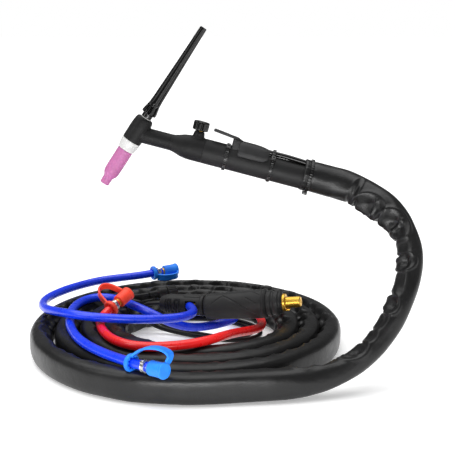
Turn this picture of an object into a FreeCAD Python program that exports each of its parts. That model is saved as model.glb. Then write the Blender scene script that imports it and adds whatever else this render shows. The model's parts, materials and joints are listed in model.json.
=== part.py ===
import FreeCAD, Part
import math
import os
import Sketcher
from FreeCAD import Placement, Rotation, Vector

# A water-cooled TIG torch lying on its own coiled lead.
# Frame: millimetres, +Z up, origin at the centre of the coil on the floor, -Y towards the torch's side.
# The head axis and the handle axis cross at the joint point. HEAD has +Z up the head axis.
# HANDLE has +X up from the handle axis, +Y to the torch's side and +Z to the rear.

SIZES = {
    # where the torch stands and how its two axes lean
    "joint_x": -62.5,
    "joint_y": -43.0,
    "joint_z": 261.0,
    "head_tilt": 33.4,
    "handle_drop": 14.8,
    # head
    "head_radius": 11.0,
    "head_top_radius": 9.6,
    "head_rise": 19.4,
    "head_depth": 9.8,
    "core_radius": 7.5,
    "core_bore": 4.2,
    "lug_radius": 7.0,
    "lug_length": 14.0,
    "neck_radius": 9.1,
    "neck_end": 42.0,
    "dome_end": 62.0,
    "seam": 76.5,
    # running fits
    "running_gap": 0.05,
    # back cap
    "washer_radius": 6.0,
    "washer_height": 1.5,
    "stub_foot": 9.5,
    "cap_flange_radius": 8.75,
    "cap_neck_top": 25.9,
    "cap_flange_top": 37.0,
    "cap_waist": 40.0,
    "cap_tip_radius": 3.8,
    "cap_top": 137.5,
    "cap_bore": 1.4,
    "cap_bore_top": 106.0,
    "seal_radius": 5.0,
    "cap_flute": 1.1,
    # collet, electrode, insulator and nozzle
    "collet_body_radius": 5.5,
    "collet_radius": 1.85,
    "collet_bore": 1.25,
    "electrode_radius": 1.2,
    "electrode_tip": -54.0,
    "electrode_top": 96.0,
    "insulator_foot": -21.9,
    "insulator_radius": 9.25,
    "nozzle_radius": 8.75,
    "nozzle_shoulder": -54.4,
    "nozzle_waist": -58.8,
    "nozzle_foot": -67.3,
    "nozzle_tip_radius": 5.25,
    "nozzle_mouth": 4.0,
    "nozzle_cavity": 6.8,
    # valve
    "valve_place": 68.0,
    "valve_body_radius": 5.0,
    "valve_neck_radius": 3.6,
    "valve_floor": 2.0,
    "valve_waist": 12.0,
    "boss_radius": 6.35,
    "boss_tip_radius": 4.9,
    "boss_top": 20.7,
    "spindle_radius": 1.8,
    "knob_radius": 9.0,
    "knob_foot": 20.9,
    "knob_top": 31.3,
    "knob_flute": 1.5,
    # handle
    "handle_radius": 13.9,
    "handle_wall": 2.4,
    "handle_end": 215.0,
    "tube_radius": 2.0,
    "tube_bore": 1.2,
    "tube_ring": 4.2,
    "tube_end": 100.0,
    "inner_hose_radius": 3.2,
    "inner_hose_start": 86.0,
    "inner_hose_end": 212.0,
    "ferrule_radius": 4.0,
    "ferrule_length": 4.0,
    # switch
    "switch_front": 106.5,
    "switch_step": 114.5,
    "switch_back": 149.0,
    "switch_top": 21.3,
    "saddle_foot": 5.5,
    "saddle_half": 14.9,
    "block_half": 8.0,
    "pivot_place": 117.0,
    "pivot_height": 20.0,
    "pin_radius": 0.9,
    "lever_half": 4.0,
    "lead_radius": 3.0,
    "lead_height": 17.0,
    # ties
    "tie_thickness": 1.2,
    "tie_width": 3.6,
    "front_tie": 103.0,
    "middle_tie": 154.5,
    "rear_tie": 199.0,
    # sheath
    "sheath_radius": 17.5,
    "sheath_rise": 3.0,
    "sheath_mouth": 191.5,
    "coil_height": 34.0,
    "coil_half_width": 13.3,
    # plug
    "sleeve_radius": 17.5,
    "sleeve_rear_radius": 15.3,
    "sleeve_length": 78.0,
    "collar_radius": 15.6,
    "collar_end": 96.5,
    "plug_bore": 8.0,
    "flange_radius": 10.5,
    "flange_end": 100.0,
    "pin_size": 6.5,
    "pin_end": 118.0,
    "rear_radius": 12.5,
    "rear_length": 58.0,
    # hoses
    "hose_radius": 5.2,
    "power_radius": 2.8,
    "control_radius": 2.3,
    "nipple_radius": 4.0,
    "nipple_length": 16.0,
    "nipple_collar": 5.0,
    "cap_radius": 8.0,
    "cap_foot": 2.5,
    "cap_length": 20.0,
    "clamp_radius": 6.4,
    "ring_radius": 9.6,
    "tether_radius": 1.5,
}


class Size:
    """A dimension that knows its value and the sheet expression that drives it."""

    def __init__(self, value, text):
        self.value = float(value)
        self.text = text

    def __add__(self, other):
        other = as_size(other)
        return Size(self.value + other.value, f"({self.text} + {other.text})")

    def __sub__(self, other):
        other = as_size(other)
        return Size(self.value - other.value, f"({self.text} - {other.text})")

    def __mul__(self, factor):
        return Size(self.value * factor, f"({self.text} * {factor})")

    def __neg__(self):
        return Size(-self.value, f"(0 - {self.text})")


def as_size(item):
    return item if isinstance(item, Size) else Size(item, f"({float(item)})")


doc = FreeCAD.newDocument("tig_torch")
sheet = doc.addObject("Spreadsheet::Sheet", "Sizes")
D = {}
for row, (name, number) in enumerate(SIZES.items(), start=1):
    sheet.set(f"A{row}", name)
    sheet.set(f"B{row}", str(number))
    sheet.setAlias(f"B{row}", name)
    D[name] = Size(number, f"Sizes.{name}")
doc.recompute()

nodes = []


def keep(item, label, place=None):
    """Names a finished sub-part and sets where it stands."""
    item.Label = label
    if place is not None:
        item.Placement = place
    nodes.append(item)
    return item


def new_body(label, place):
    return keep(doc.addObject("PartDesign::Body", "body_" + label), label, place)


def attach(body, sketch, plane, turn, at, lift):
    support = [item for item in body.Origin.OriginFeatures if item.Role == plane][0]
    sketch.AttachmentSupport = [(support, "")]
    sketch.MapMode = "FlatFace"
    offset = Vector(at[0], at[1], lift)
    sketch.AttachmentOffset = Placement(offset, Rotation(Vector(0, 0, 1), turn))


def place_point(sketch, kind, geometry, corner, size):
    """Holds one coordinate of a sketch point at a driven distance from the sketch's origin."""
    size = as_size(size)
    index = sketch.addConstraint(Sketcher.Constraint(kind, -1, 1, geometry, corner, size.value))
    if "Sizes" in size.text:
        sketch.setExpression(f"Constraints[{index}]", size.text)


def outline(body, points, plane="XZ_Plane", turn=0.0, at=(0, 0), lift=0.0):
    """A closed polygon whose every corner is driven from the sheet."""
    sketch = body.newObject("Sketcher::SketchObject", "outline")
    attach(body, sketch, plane, turn, at, lift)
    corners = [Vector(as_size(x).value, as_size(y).value, 0) for x, y in points]
    count = len(corners)
    for index in range(count):
        sketch.addGeometry(Part.LineSegment(corners[index], corners[(index + 1) % count]), False)
    for index in range(count):
        sketch.addConstraint(Sketcher.Constraint("Coincident", index, 2, (index + 1) % count, 1))
    for index, (x, y) in enumerate(points):
        place_point(sketch, "DistanceX", index, 1, x)
        place_point(sketch, "DistanceY", index, 1, y)
    return sketch


def disc(body, radius, centre=(0, 0), plane="XY_Plane", lift=0.0, bore=None):
    """A driven circle, or a ring if it has a bore."""
    sketch = body.newObject("Sketcher::SketchObject", "disc")
    attach(body, sketch, plane, 0.0, (0, 0), lift)
    x, y = as_size(centre[0]), as_size(centre[1])
    for index, size in enumerate([radius] if bore is None else [radius, bore]):
        size = as_size(size)
        circle = Part.Circle(Vector(x.value, y.value, 0), Vector(0, 0, 1), size.value)
        sketch.addGeometry(circle, False)
        place_point(sketch, "DistanceX", index, 3, x)
        place_point(sketch, "DistanceY", index, 3, y)
        number = sketch.addConstraint(Sketcher.Constraint("Radius", index, size.value))
        sketch.setExpression(f"Constraints[{number}]", size.text)
    return sketch


def revolve(body, points, cut=False, turn=0.0, at=(0, 0)):
    """Turns an outline of (radius, height) points about its own upright axis."""
    sketch = outline(body, points, "XZ_Plane", turn, at)
    kind = "PartDesign::Groove" if cut else "PartDesign::Revolution"
    feature = body.newObject(kind, "turned")
    feature.Profile = sketch
    feature.ReferenceAxis = (sketch, ["V_Axis"])
    feature.Angle = 360
    return feature


def extrude(body, sketch, length, cut=False, both=False):
    """Pads or cuts a sketch along its plane's normal, or half to each side."""
    length = as_size(length)
    feature = body.newObject("PartDesign::Pocket" if cut else "PartDesign::Pad", "extruded")
    feature.Profile = sketch
    feature.Length = length.value
    if "Sizes" in length.text:
        feature.setExpression("Length", length.text)
    feature.Midplane = both
    feature.Reversed = cut and not both
    return feature


def repeat_round(body, feature, count):
    pattern = body.newObject("PartDesign::PolarPattern", "repeated")
    pattern.Originals = [feature]
    axis = [item for item in body.Origin.OriginFeatures if item.Role == "Z_Axis"][0]
    pattern.Axis = (axis, [""])
    pattern.Angle = 360
    pattern.Occurrences = count
    body.Tip = pattern
    return pattern


def turned_part(label, points, place):
    body = new_body(label, place)
    revolve(body, points)
    return body


def tube_part(label, radius, bore, start, end, place, centre=(0, 0)):
    """A plain tube along the body's Z axis, or a rod if it has no bore."""
    body = new_body(label, place)
    start, end = as_size(start), as_size(end)
    extrude(body, disc(body, radius, centre, lift=start.value, bore=bore), end - start)
    return body


def rectangle(low_x, high_x, low_y, high_y):
    return [(low_x, low_y), (high_x, low_y), (high_x, high_y), (low_x, high_y)]


def frame_at(origin, up, along):
    """A placement with +X up, +Z along a direction, and +Y completing the set."""
    along = Vector(along).normalize()
    side = along.cross(Vector(up)).normalize()
    return Placement(Vector(origin), Rotation(side.cross(along), side, along, "ZXY"))


tilt = math.radians(SIZES["head_tilt"])
drop = math.radians(SIZES["handle_drop"])
JOINT = Vector(SIZES["joint_x"], SIZES["joint_y"], SIZES["joint_z"])
HEAD_UP = Vector(math.sin(tilt), 0, math.cos(tilt))
BACK = Vector(math.cos(drop), 0, -math.sin(drop))
RISE = Vector(math.sin(drop), 0, math.cos(drop))
HEAD = frame_at(JOINT, Vector(1, 0, 0), HEAD_UP)
HANDLE = frame_at(JOINT, RISE, BACK)
VALVE = frame_at(JOINT + BACK * SIZES["valve_place"], BACK, RISE)
HEAD_TURN = -(90 + SIZES["handle_drop"] - SIZES["head_tilt"])
CROSS_TURN = -90.0


def tube_centres():
    """The gas tube above the handle axis, and the two water tubes below it."""
    ring = D["tube_ring"]
    cosine, sine = -math.cos(math.radians(60)), math.sin(math.radians(60))
    return [(ring, 0), (ring * cosine, ring * sine), (ring * cosine, -(ring * sine))]


def head_parts():
    gap = D["running_gap"]
    body = new_body("torch_head_cover", HANDLE)
    foot, rise = -D["head_depth"], D["head_rise"]
    revolve(body, [
        (0, foot), (D["head_radius"], foot), (D["head_radius"], 8),
        (D["head_top_radius"] + 0.6, rise - 4), (D["head_top_radius"], rise - 1.2),
        (D["head_top_radius"] - 1.6, rise), (0, rise),
    ], turn=HEAD_TURN)
    neck, swell = D["neck_radius"], D["handle_radius"] - D["neck_radius"]
    revolve(body, [
        (0, 0), (neck, 0), (neck, D["neck_end"]), (neck + swell * 0.25, D["neck_end"] + 5),
        (neck + swell * 0.7, D["neck_end"] + 11), (neck + swell * 0.94, D["neck_end"] + 16),
        (D["handle_radius"], D["dome_end"]), (D["handle_radius"], D["seam"]), (0, D["seam"]),
    ])
    valve_place = (0, SIZES["valve_place"])
    boss_top = D["boss_top"]
    revolve(body, [
        (0, 8), (D["boss_radius"], 8), (D["boss_radius"], boss_top - 3.2),
        (D["boss_tip_radius"], boss_top), (0, boss_top),
    ], turn=CROSS_TURN, at=valve_place)
    revolve(body, rectangle(0, D["core_radius"], foot - 1, rise + 1), True, HEAD_TURN)
    revolve(body, rectangle(0, D["lug_radius"], 0, D["lug_length"]), True)
    revolve(body, [
        (0, D["valve_floor"]), (D["valve_body_radius"], D["valve_floor"]),
        (D["valve_body_radius"], D["valve_waist"]), (D["valve_neck_radius"], D["valve_waist"]),
        (D["valve_neck_radius"], boss_top + 1), (0, boss_top + 1),
    ], True, CROSS_TURN, valve_place)
    for centre in tube_centres():
        hole = disc(body, D["tube_radius"], centre, lift=SIZES["lug_length"])
        extrude(body, hole, D["seam"] - D["lug_length"] + 1, cut=True)

    core = new_body("head_core", HANDLE)
    revolve(core, rectangle(0, D["core_radius"], foot, rise), turn=HEAD_TURN)
    revolve(core, rectangle(0, D["lug_radius"], 0, D["lug_length"]))
    revolve(core, rectangle(0, D["core_bore"], foot - 1, rise + 1), True, HEAD_TURN)

    turned_part("head_top_washer", rectangle(
        D["seal_radius"] + gap, D["washer_radius"], rise, rise + D["washer_height"]), HEAD)
    turned_part("back_cap_o_ring", rectangle(
        D["core_bore"], D["seal_radius"], rise + 0.1, rise + D["washer_height"] - 0.1), HEAD)


def back_cap():
    stub = D["core_bore"] - D["running_gap"]
    seat = D["head_rise"] + D["washer_height"]
    body = new_body("long_back_cap", HEAD)
    revolve(body, [
        (D["cap_bore"], D["stub_foot"]), (stub, D["stub_foot"]), (stub, seat),
        (D["washer_radius"], seat), (D["washer_radius"], D["cap_neck_top"]),
        (D["cap_flange_radius"], D["cap_neck_top"]), (D["cap_flange_radius"] - 0.3, D["cap_flange_top"]),
        (D["washer_radius"], D["cap_waist"]), (D["cap_tip_radius"], D["cap_top"]), (0, D["cap_top"]),
        (0, D["cap_bore_top"]), (D["cap_bore"], D["cap_bore_top"]),
    ])
    tooth = disc(body, D["cap_flute"], (D["cap_flange_radius"] + 0.2, 0), lift=SIZES["cap_neck_top"])
    repeat_round(body, extrude(body, tooth, D["cap_flange_top"] - D["cap_neck_top"], cut=True), 8)


def nozzle_parts():
    gap = D["running_gap"]
    foot = -D["head_depth"]
    thread = D["collet_body_radius"]
    turned_part("collet_body", [
        (1.9, 0), (D["core_bore"], 0), (D["core_bore"], foot), (thread, foot), (thread, -32),
        (4.6, -32), (4.6, -46), (3.2, -50), (1.35, -50), (1.35, -44), (1.9, -44),
    ], HEAD)
    turned_part("collet", rectangle(D["collet_bore"], D["collet_radius"], -43.8, 9.3), HEAD)
    tip, top = D["electrode_tip"], D["electrode_top"]
    turned_part("tungsten_electrode", [
        (0, tip), (0.3, tip), (D["electrode_radius"], tip + 5), (D["electrode_radius"], top), (0, top),
    ], HEAD)
    turned_part("nozzle_insulator", [
        (thread + gap, foot), (D["head_radius"], foot), (D["head_radius"] - 0.4, foot - 5),
        (D["insulator_radius"], D["insulator_foot"]), (thread + gap, D["insulator_foot"]),
    ], HEAD)
    mouth, cavity = D["nozzle_mouth"], D["nozzle_cavity"]
    turned_part("ceramic_nozzle", [
        (thread + gap, D["insulator_foot"]), (D["nozzle_radius"], D["insulator_foot"]),
        (D["nozzle_radius"], D["nozzle_shoulder"] + 2), (D["nozzle_radius"] - 0.7, D["nozzle_shoulder"]),
        (D["nozzle_tip_radius"], D["nozzle_waist"]), (D["nozzle_tip_radius"], D["nozzle_foot"]),
        (mouth, D["nozzle_foot"]), (mouth, D["nozzle_waist"]), (cavity, D["nozzle_shoulder"] + 3),
        (cavity, -32), (thread + gap, -32),
    ], HEAD)


def valve_parts():
    spindle = D["spindle_radius"]
    seal = D["spindle_radius"] + 0.85
    wall, neck = D["valve_body_radius"], D["valve_neck_radius"]
    turned_part("valve_body", [
        (0, D["valve_floor"]), (wall, D["valve_floor"]), (wall, D["valve_waist"]),
        (neck, D["valve_waist"]), (neck, D["boss_top"]), (spindle + 0.1, D["boss_top"]),
        (spindle + 0.1, 17.2), (seal, 17.2), (seal, 13), (spindle + 0.1, 13),
        (spindle + 0.1, 6), (1.2, 6), (1.2, 4.4), (0, 4.4),
    ], VALVE)
    turned_part("valve_spindle", [
        (0, 5.2), (0.5, 5.2), (spindle, 7), (spindle, D["knob_top"] - 1.5), (0, D["knob_top"] - 1.5),
    ], VALVE)
    turned_part("valve_o_ring", rectangle(spindle + 0.02, seal - 0.03, 13.2, 14.8), VALVE)
    knob = new_body("valve_knob", VALVE)
    revolve(knob, [
        (spindle, D["knob_foot"]), (D["knob_radius"] - 0.8, D["knob_foot"]),
        (D["knob_radius"], D["knob_foot"] + 1), (D["knob_radius"], D["knob_top"] - 1),
        (D["knob_radius"] - 1, D["knob_top"]), (3.1, D["knob_top"]),
        (3.1, D["knob_top"] - 1.5), (spindle, D["knob_top"] - 1.5),
    ])
    flute = disc(knob, D["knob_flute"], (D["knob_radius"], 0), lift=SIZES["knob_foot"] - 1)
    repeat_round(knob, extrude(knob, flute, D["knob_top"] - D["knob_foot"] + 2, cut=True), 9)
    turned_part("knob_screw", rectangle(0, 3.05, D["knob_top"] - 1.5, D["knob_top"] - 0.3), VALVE)


def handle_parts():
    inner = D["handle_radius"] - D["handle_wall"]
    tube_part("handle_shell", D["handle_radius"], inner, D["seam"], D["handle_end"], HANDLE)
    radius, bore, start = D["tube_radius"], D["tube_bore"], D["lug_length"]
    gas, water, power = tube_centres()
    valve_front = D["valve_place"] - D["valve_body_radius"]
    valve_back = D["valve_place"] + D["valve_body_radius"]
    tube_part("front_gas_tube", radius, bore, start, valve_front, HANDLE, gas)
    tube_part("rear_gas_tube", radius, bore, valve_back, D["tube_end"], HANDLE, gas)
    tube_part("water_inlet_tube", radius, bore, start, D["tube_end"], HANDLE, water)
    tube_part("power_and_return_tube", radius, bore, start, D["tube_end"], HANDLE, power)
    hose = D["inner_hose_radius"]
    names = ["inner_gas_hose", "inner_water_hose", "inner_power_hose"]
    for name, centre in zip(names, (gas, water, power)):
        tube_part(name, hose, radius, D["inner_hose_start"], D["inner_hose_end"], HANDLE, centre)
    rings = []
    for index, centre in enumerate((gas, water, power)):
        ring = doc.addObject("Part::Cylinder", "ferrule_outside")
        hole = doc.addObject("Part::Cylinder", "ferrule_inside")
        place = Vector(as_size(centre[0]).value, as_size(centre[1]).value,
                       SIZES["inner_hose_start"] + 1 + 4.4 * index)
        for item, size in ((ring, D["ferrule_radius"]), (hole, hose)):
            item.setExpression("Radius", size.text)
            item.setExpression("Height", D["ferrule_length"].text)
            item.Placement = Placement(place, Rotation())
        cut = doc.addObject("Part::Cut", "ferrule")
        cut.Base, cut.Tool = ring, hole
        rings.append(cut)
    group = doc.addObject("Part::Compound", "ferrules")
    group.Links = rings
    keep(group, "hose_ferrules", HANDLE)


def switch_parts():
    top, half = D["switch_top"], D["saddle_half"]
    body = new_body("switch_housing", HANDLE)
    section = [
        (D["saddle_foot"], -half), (11.5, -half), (18.5, -10.5), (top, -7.5),
        (top, 7.5), (18.5, 10.5), (11.5, half), (D["saddle_foot"], half),
    ]
    shape = outline(body, section, "XY_Plane", lift=SIZES["switch_step"])
    extrude(body, shape, D["switch_back"] - D["switch_step"])
    block = outline(body, rectangle(11.0, top + 0.2, -D["block_half"], D["block_half"]),
                    "XY_Plane", lift=SIZES["switch_front"])
    extrude(body, block, D["switch_step"] - D["switch_front"])
    seat = disc(body, D["handle_radius"] + D["running_gap"], lift=SIZES["switch_front"] - 1)
    extrude(body, seat, D["switch_back"] - D["switch_front"] + 2, cut=True)
    slope = [(top + 1, 138), (top + 1, D["switch_back"] + 1), (20.0, D["switch_back"] + 1), (20.0, D["switch_back"])]
    extrude(body, outline(body, slope), 40, cut=True, both=True)
    pocket = outline(body, rectangle(13.0, 19.3, -6.2, 6.2), "XY_Plane", lift=107.0)
    extrude(body, pocket, 6.0, cut=True)
    slot = D["lever_half"] + 0.3
    front_slot = outline(body, rectangle(19.2, top + 1, -slot, slot), "XY_Plane", lift=106.0)
    extrude(body, front_slot, 8.0, cut=True)
    hub_slot = outline(body, rectangle(18.0, top + 1, -slot, slot), "XY_Plane", lift=113.0)
    extrude(body, hub_slot, 6.3, cut=True)
    hole = disc(body, D["pin_radius"], (D["pivot_height"], D["pivot_place"]), "XZ_Plane")
    extrude(body, hole, 30, cut=True, both=True)

    pin = new_body("lever_pin", HANDLE)
    rod = disc(pin, D["pin_radius"], (D["pivot_height"], D["pivot_place"]), "XZ_Plane")
    extrude(pin, rod, 15.0, both=True)

    lever = new_body("switch_lever", HANDLE)
    hub = disc(lever, 1.9, (D["pivot_height"], D["pivot_place"]), "XZ_Plane")
    extrude(lever, hub, D["lever_half"] * 2, both=True)
    strip = [
        (24.5, 83), (27.1, 83), (27.1, 84.5), (24.2, 111.5), (21.4, 118), (20.0, 118.6),
        (18.4, 116.2), (21.5, 111.8),
    ]
    extrude(lever, outline(lever, strip), D["lever_half"] * 2, both=True)
    bore = disc(lever, D["pin_radius"] + D["running_gap"], (D["pivot_height"], D["pivot_place"]), "XZ_Plane")
    extrude(lever, bore, 20, cut=True, both=True)

    switch = new_body("microswitch", HANDLE)
    case = outline(switch, rectangle(14.1, 19.0, -6.0, 6.0), "XY_Plane", lift=107.3)
    extrude(switch, case, 5.4)
    revolve(switch, rectangle(0, 1.25, 16.4, 20), True, CROSS_TURN, (0, 110.0))
    plunger = new_body("switch_plunger", HANDLE)
    revolve(plunger, rectangle(0, 1.2, 17.5, 21.4), turn=CROSS_TURN, at=(0, 110.0))

    tube_part("switch_lead", D["lead_radius"], None, D["switch_back"], D["handle_end"] - 1, HANDLE,
              (D["lead_height"], 0))


def two_circle_outline(radius, small_radius, distance, height):
    """A band's outline round a big circle and a smaller one above it, with straight flanks."""
    lean = math.acos((radius - small_radius) / distance)
    side, up = math.sin(lean), math.cos(lean)
    big_right = Vector(radius * up, radius * side, height)
    big_left = Vector(radius * up, -radius * side, height)
    small_right = Vector(distance + small_radius * up, small_radius * side, height)
    small_left = Vector(distance + small_radius * up, -small_radius * side, height)
    return Part.Wire([
        Part.Arc(big_left, Vector(-radius, 0, height), big_right).toShape(),
        Part.LineSegment(big_right, small_right).toShape(),
        Part.Arc(small_right, Vector(distance + small_radius, 0, height), small_left).toShape(),
        Part.LineSegment(small_left, big_left).toShape(),
    ])


def tie_parts():
    thick, width = D["tie_thickness"], D["tie_width"]
    gap = 0.1
    # front: round the handle alone, head up and to the side
    front = new_body("front_cable_tie", HANDLE)
    start = SIZES["front_tie"] - SIZES["tie_width"] / 2
    inside = D["handle_radius"] + gap
    extrude(front, disc(front, inside + thick, lift=start, bore=inside), width)
    head = rectangle(inside + 0.4, inside + 4.2, -3.0, 3.0)
    extrude(front, outline(front, head, "XY_Plane", 39.0, lift=start - 0.9), width + 1.8)
    # middle: round the handle and the switch lead, a band between two outlines
    low = SIZES["middle_tie"] - SIZES["tie_width"] / 2
    handle, lead = SIZES["handle_radius"] + gap, SIZES["lead_radius"] + gap
    height = SIZES["lead_height"]
    outer = two_circle_outline(handle + thick.value, lead + thick.value, height, low)
    inner = two_circle_outline(handle, lead, height, low)
    band = Part.Face(outer).cut(Part.Face(inner)).extrude(Vector(0, 0, SIZES["tie_width"]))
    block = Part.makeBox(4.0, 6.0, SIZES["tie_width"] + 1.8, Vector(handle + 0.9, -3.0, low - 0.9))
    block.rotate(Vector(0, 0, 0), Vector(0, 0, 1), 41.0)
    middle = doc.addObject("Part::Feature", "middle_tie")
    middle.Shape = band.fuse(block.cut(Part.Face(outer).extrude(Vector(0, 0, SIZES["tie_width"])))).removeSplitter()
    keep(middle, "middle_cable_tie", HANDLE)
    # rear: round the sheath, head and tail underneath
    rear = new_body("rear_cable_tie", HANDLE)
    start = SIZES["rear_tie"] - SIZES["tie_width"] / 2
    inside = D["sheath_radius"] + gap
    centre = (D["sheath_rise"], 0)
    extrude(rear, disc(rear, inside + thick, centre, lift=start, bore=inside), width)
    knot = rectangle(-(inside + 4.4) + D["sheath_rise"], -(inside + 0.4) + D["sheath_rise"], -3.0, 3.0)
    extrude(rear, outline(rear, knot, "XY_Plane", lift=start - 0.9), width + 1.8)


def rounded_path(points, title):
    """Straight runs joined by tangent arcs, each as large as its two runs allow."""
    edges = []
    radii = []
    start = Vector(points[0])
    for before, corner, after in zip(points, points[1:], points[2:]):
        before, corner, after = Vector(before), Vector(corner), Vector(after)
        into = corner - before
        out = after - corner
        reach = 0.45 * min(into.Length, out.Length)
        half = into.getAngle(out) / 2
        radius = reach / math.tan(half)
        radii.append(round(radius, 1))
        into.normalize()
        out.normalize()
        first = corner - into * reach
        last = corner + out * reach
        inward = (out - into).normalize()
        middle = corner + inward * (radius / math.cos(half) - radius)
        edges.append(Part.LineSegment(start, first).toShape())
        edges.append(Part.Arc(first, middle, last).toShape())
        start = last
    edges.append(Part.LineSegment(start, Vector(points[-1])).toShape())
    print(title, "arc radii", radii)
    return Part.Wire(edges)


def cord_shape(points, radius, title):
    """A round cord along a rounded path, checked against its section times its length."""
    path = rounded_path(points, title)
    start = Vector(points[0])
    direction = (Vector(points[1]) - start).normalize()
    section = Part.Wire(Part.makeCircle(radius, start, direction))
    shape = path.makePipeShell([section], True, False)
    expected = math.pi * radius ** 2 * path.Length
    print(title, "length", round(path.Length, 1), "volume ratio", round(shape.Volume / expected, 4))
    if abs(shape.Volume / expected - 1) > 0.02:
        raise ValueError(title + " has the wrong volume")
    return shape


def cord_part(label, points, radius, cut=None):
    shape = cord_shape(points, radius, label)
    if cut is not None:
        shape = shape.cut(cut)
    item = doc.addObject("Part::Feature", "cord_" + label)
    item.Shape = shape
    keep(item, label)


# The sheath leaves the handle, arches over and comes down to the coil's outer turn.
RISER = [
    (123.4, -43, 215.0), (150.5, -43.2, 207.8), (176.3, -48, 201.5), (196.6, -58, 191.5),
    (217.5, -73, 177.5), (229.5, -88, 160.5), (235.5, -103, 138.0), (231.5, -116, 114.5),
    (221.7, -128, 89.8), (205.9, -138, 63.5), (185.5, -148, 42.0), (160.5, -158, 27.5),
    (127.5, -168, 18.6), (93.5, -176.3, 17.7), (48, -188.3, 17.7),
]
# The gas hose leaves the plug's rear sleeve and crosses over the other two hoses.
GAS_HOSE = [
    (-7.2, 11.2, 44.5), (-2.5, -4, 45.7), (-1.5, -20, 46.0), (-9, -36, 46.4), (-25, -46, 47.0),
    (-54, -55, 48.5), (-88, -60, 51.0), (-120, -52.6, 51.0), (-148.7, -38, 51.0),
    (-176, -6, 45.0), (-190, 28, 40.0), (-191.5, 58, 39.6), (-180, 90, 39.6), (-160, 122, 39.6),
    (-133, 150, 39.6), (-107, 161, 40.2), (-82, 166.5, 41.8), (-66, 173.5, 42.8), (-52, 181, 43.4),
]
# The cooling water hoses leave the sheath's inner end, turn back under the plug and lie on the coil.
WATER_IN_HOSE = [
    (-20, 88.5, 13), (-3, 91.2, 13), (14, 92.4, 13), (31.1, 88.2, 13), (44, 76.2, 15),
    (49.4, 59.5, 17), (46.1, 42.2, 17.5), (34.8, 28.7, 18), (20, 18.5, 17.6), (0, 10, 17.8),
    (-16, 7.2, 20.5), (-34.5, 1.5, 28.5), (-55, 6.5, 38), (-76, 24, 41.5), (-89, 45, 40),
    (-107, 64, 39.6), (-128, 68, 39.6), (-143, 52, 39.6), (-150.5, 23, 39.6), (-149, -14, 39.6),
    (-141.3, -57, 39.6), (-127, -95.5, 39.6), (-110.5, -122.3, 39.6), (-88.7, -148.1, 39.6),
    (-66, -171, 40.8), (-52.5, -183.8, 41.8), (-39.5, -195, 42.7),
]
WATER_OUT_HOSE = [
    (-22, 93.5, 25), (2, 98, 25), (27, 93, 25), (50, 79, 25), (69, 58, 26), (80, 32, 25),
    (82, 6, 20.5), (68, -18, 23.5), (49, -54, 32.5), (35, -86.7, 39.8), (18, -104, 40.0),
    (-2, -115, 39.6), (-26, -122.5, 39.6), (-50, -124.5, 39.6), (-71, -116, 39.6),
    (-88, -99, 39.6), (-100, -76, 39.6), (-108, -49, 39.6), (-110.5, -29, 39.8),
    (-107.5, -14.5, 42), (-100, -4, 47), (-94, 3.7, 50.8),
]
# The power cable and the control cable share the same way out, along the floor inside the coil.
POWER_CABLE = [
    (-23.5, 98.5, 5.5), (4, 102, 3.6), (33, 95, 3.1), (60, 78, 3.1), (79, 52, 3.1), (81, 26, 3.1),
    (65, 8, 3.1), (40, 5, 3.1), (14, 14, 3.1), (-10, 27, 3.1), (-33, 38, 4.5), (-51, 42, 9.0),
    (-64, 41, 18), (-69, 39, 28.5), (-65, 36, 38.5), (-51.5, 32.3, 42.4), (-37, 28.4, 42.8),
]
CONTROL_CABLE = [
    (-21, 90, 3.4), (6, 93, 2.6), (30, 86, 2.6), (54, 70, 2.6), (69, 49, 2.6), (69, 31, 2.6),
    (56, 19, 2.6), (38, 17, 2.6), (16, 26, 2.6), (-8, 40, 2.6), (-27, 51, 3.0), (-43, 55, 7.0),
    (-54, 53, 15), (-61.5, 49.5, 25.5), (-66, 46, 36.9), (-71, 43.6, 40.3), (-79.3, 44.9, 41.5),
    (-83.7, 51.9, 42.2), (-81.6, 59.9, 42.4), (-71.5, 65.3, 42.4), (-61.3, 70.7, 42.4),
]
COIL_START = -60.0
COIL_RADIUS = 190.25
COIL_PITCH = 27.0
COIL_CENTRE = (-4.5, -2.5)
COIL_DRIFT = (2.0, 1.2)
COIL_BEGIN = 15.0 / 360
COIL_FINISH = 3.5417


def coil_point(turns, offset, height=0.0):
    """A point of the spiral, some turns in from its start, offset sideways from its centreline."""
    angle = math.radians(COIL_START - 360 * turns)
    radius = COIL_RADIUS - COIL_PITCH * turns + offset
    x = COIL_CENTRE[0] + COIL_DRIFT[0] * turns + radius * math.cos(angle)
    y = COIL_CENTRE[1] + COIL_DRIFT[1] * turns + radius * math.sin(angle)
    return Vector(x, y, height)


def coil_outline(begin, offset):
    """One closed turn of the spiral's edge, with the radial step where the turn overlaps itself."""
    steps = 24
    curve = Part.BSplineCurve()
    curve.interpolate([coil_point(begin + index / steps, offset) for index in range(steps + 1)])
    step = Part.LineSegment(coil_point(begin + 1, offset), coil_point(begin, offset))
    return Part.Wire([curve.toShape(), step.toShape()])


def sheath_parts():
    height = SIZES["coil_height"]
    half = SIZES["coil_half_width"]
    outer = coil_outline(COIL_BEGIN, half)
    inner = coil_outline(COIL_FINISH - 1, -half)
    slab = Part.Face(outer).cut(Part.Face(inner))
    coil = doc.addObject("Part::Feature", "coil")
    coil.Shape = slab.extrude(Vector(0, 0, height)).Solids[0]
    keep(coil, "sheath_coil")
    # the handle's rear end and the switch lead run into the sheath's mouth
    clear = 0.1
    low = SIZES["sheath_mouth"] - 5
    cavity = Part.Face(two_circle_outline(
        SIZES["handle_radius"] + clear, SIZES["lead_radius"] + clear, SIZES["lead_height"], low))
    cavity = cavity.extrude(Vector(0, 0, SIZES["handle_end"] + clear - low))
    cavity.Placement = HANDLE
    cord_part("sheath_riser", RISER, SIZES["sheath_radius"], cavity)


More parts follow.
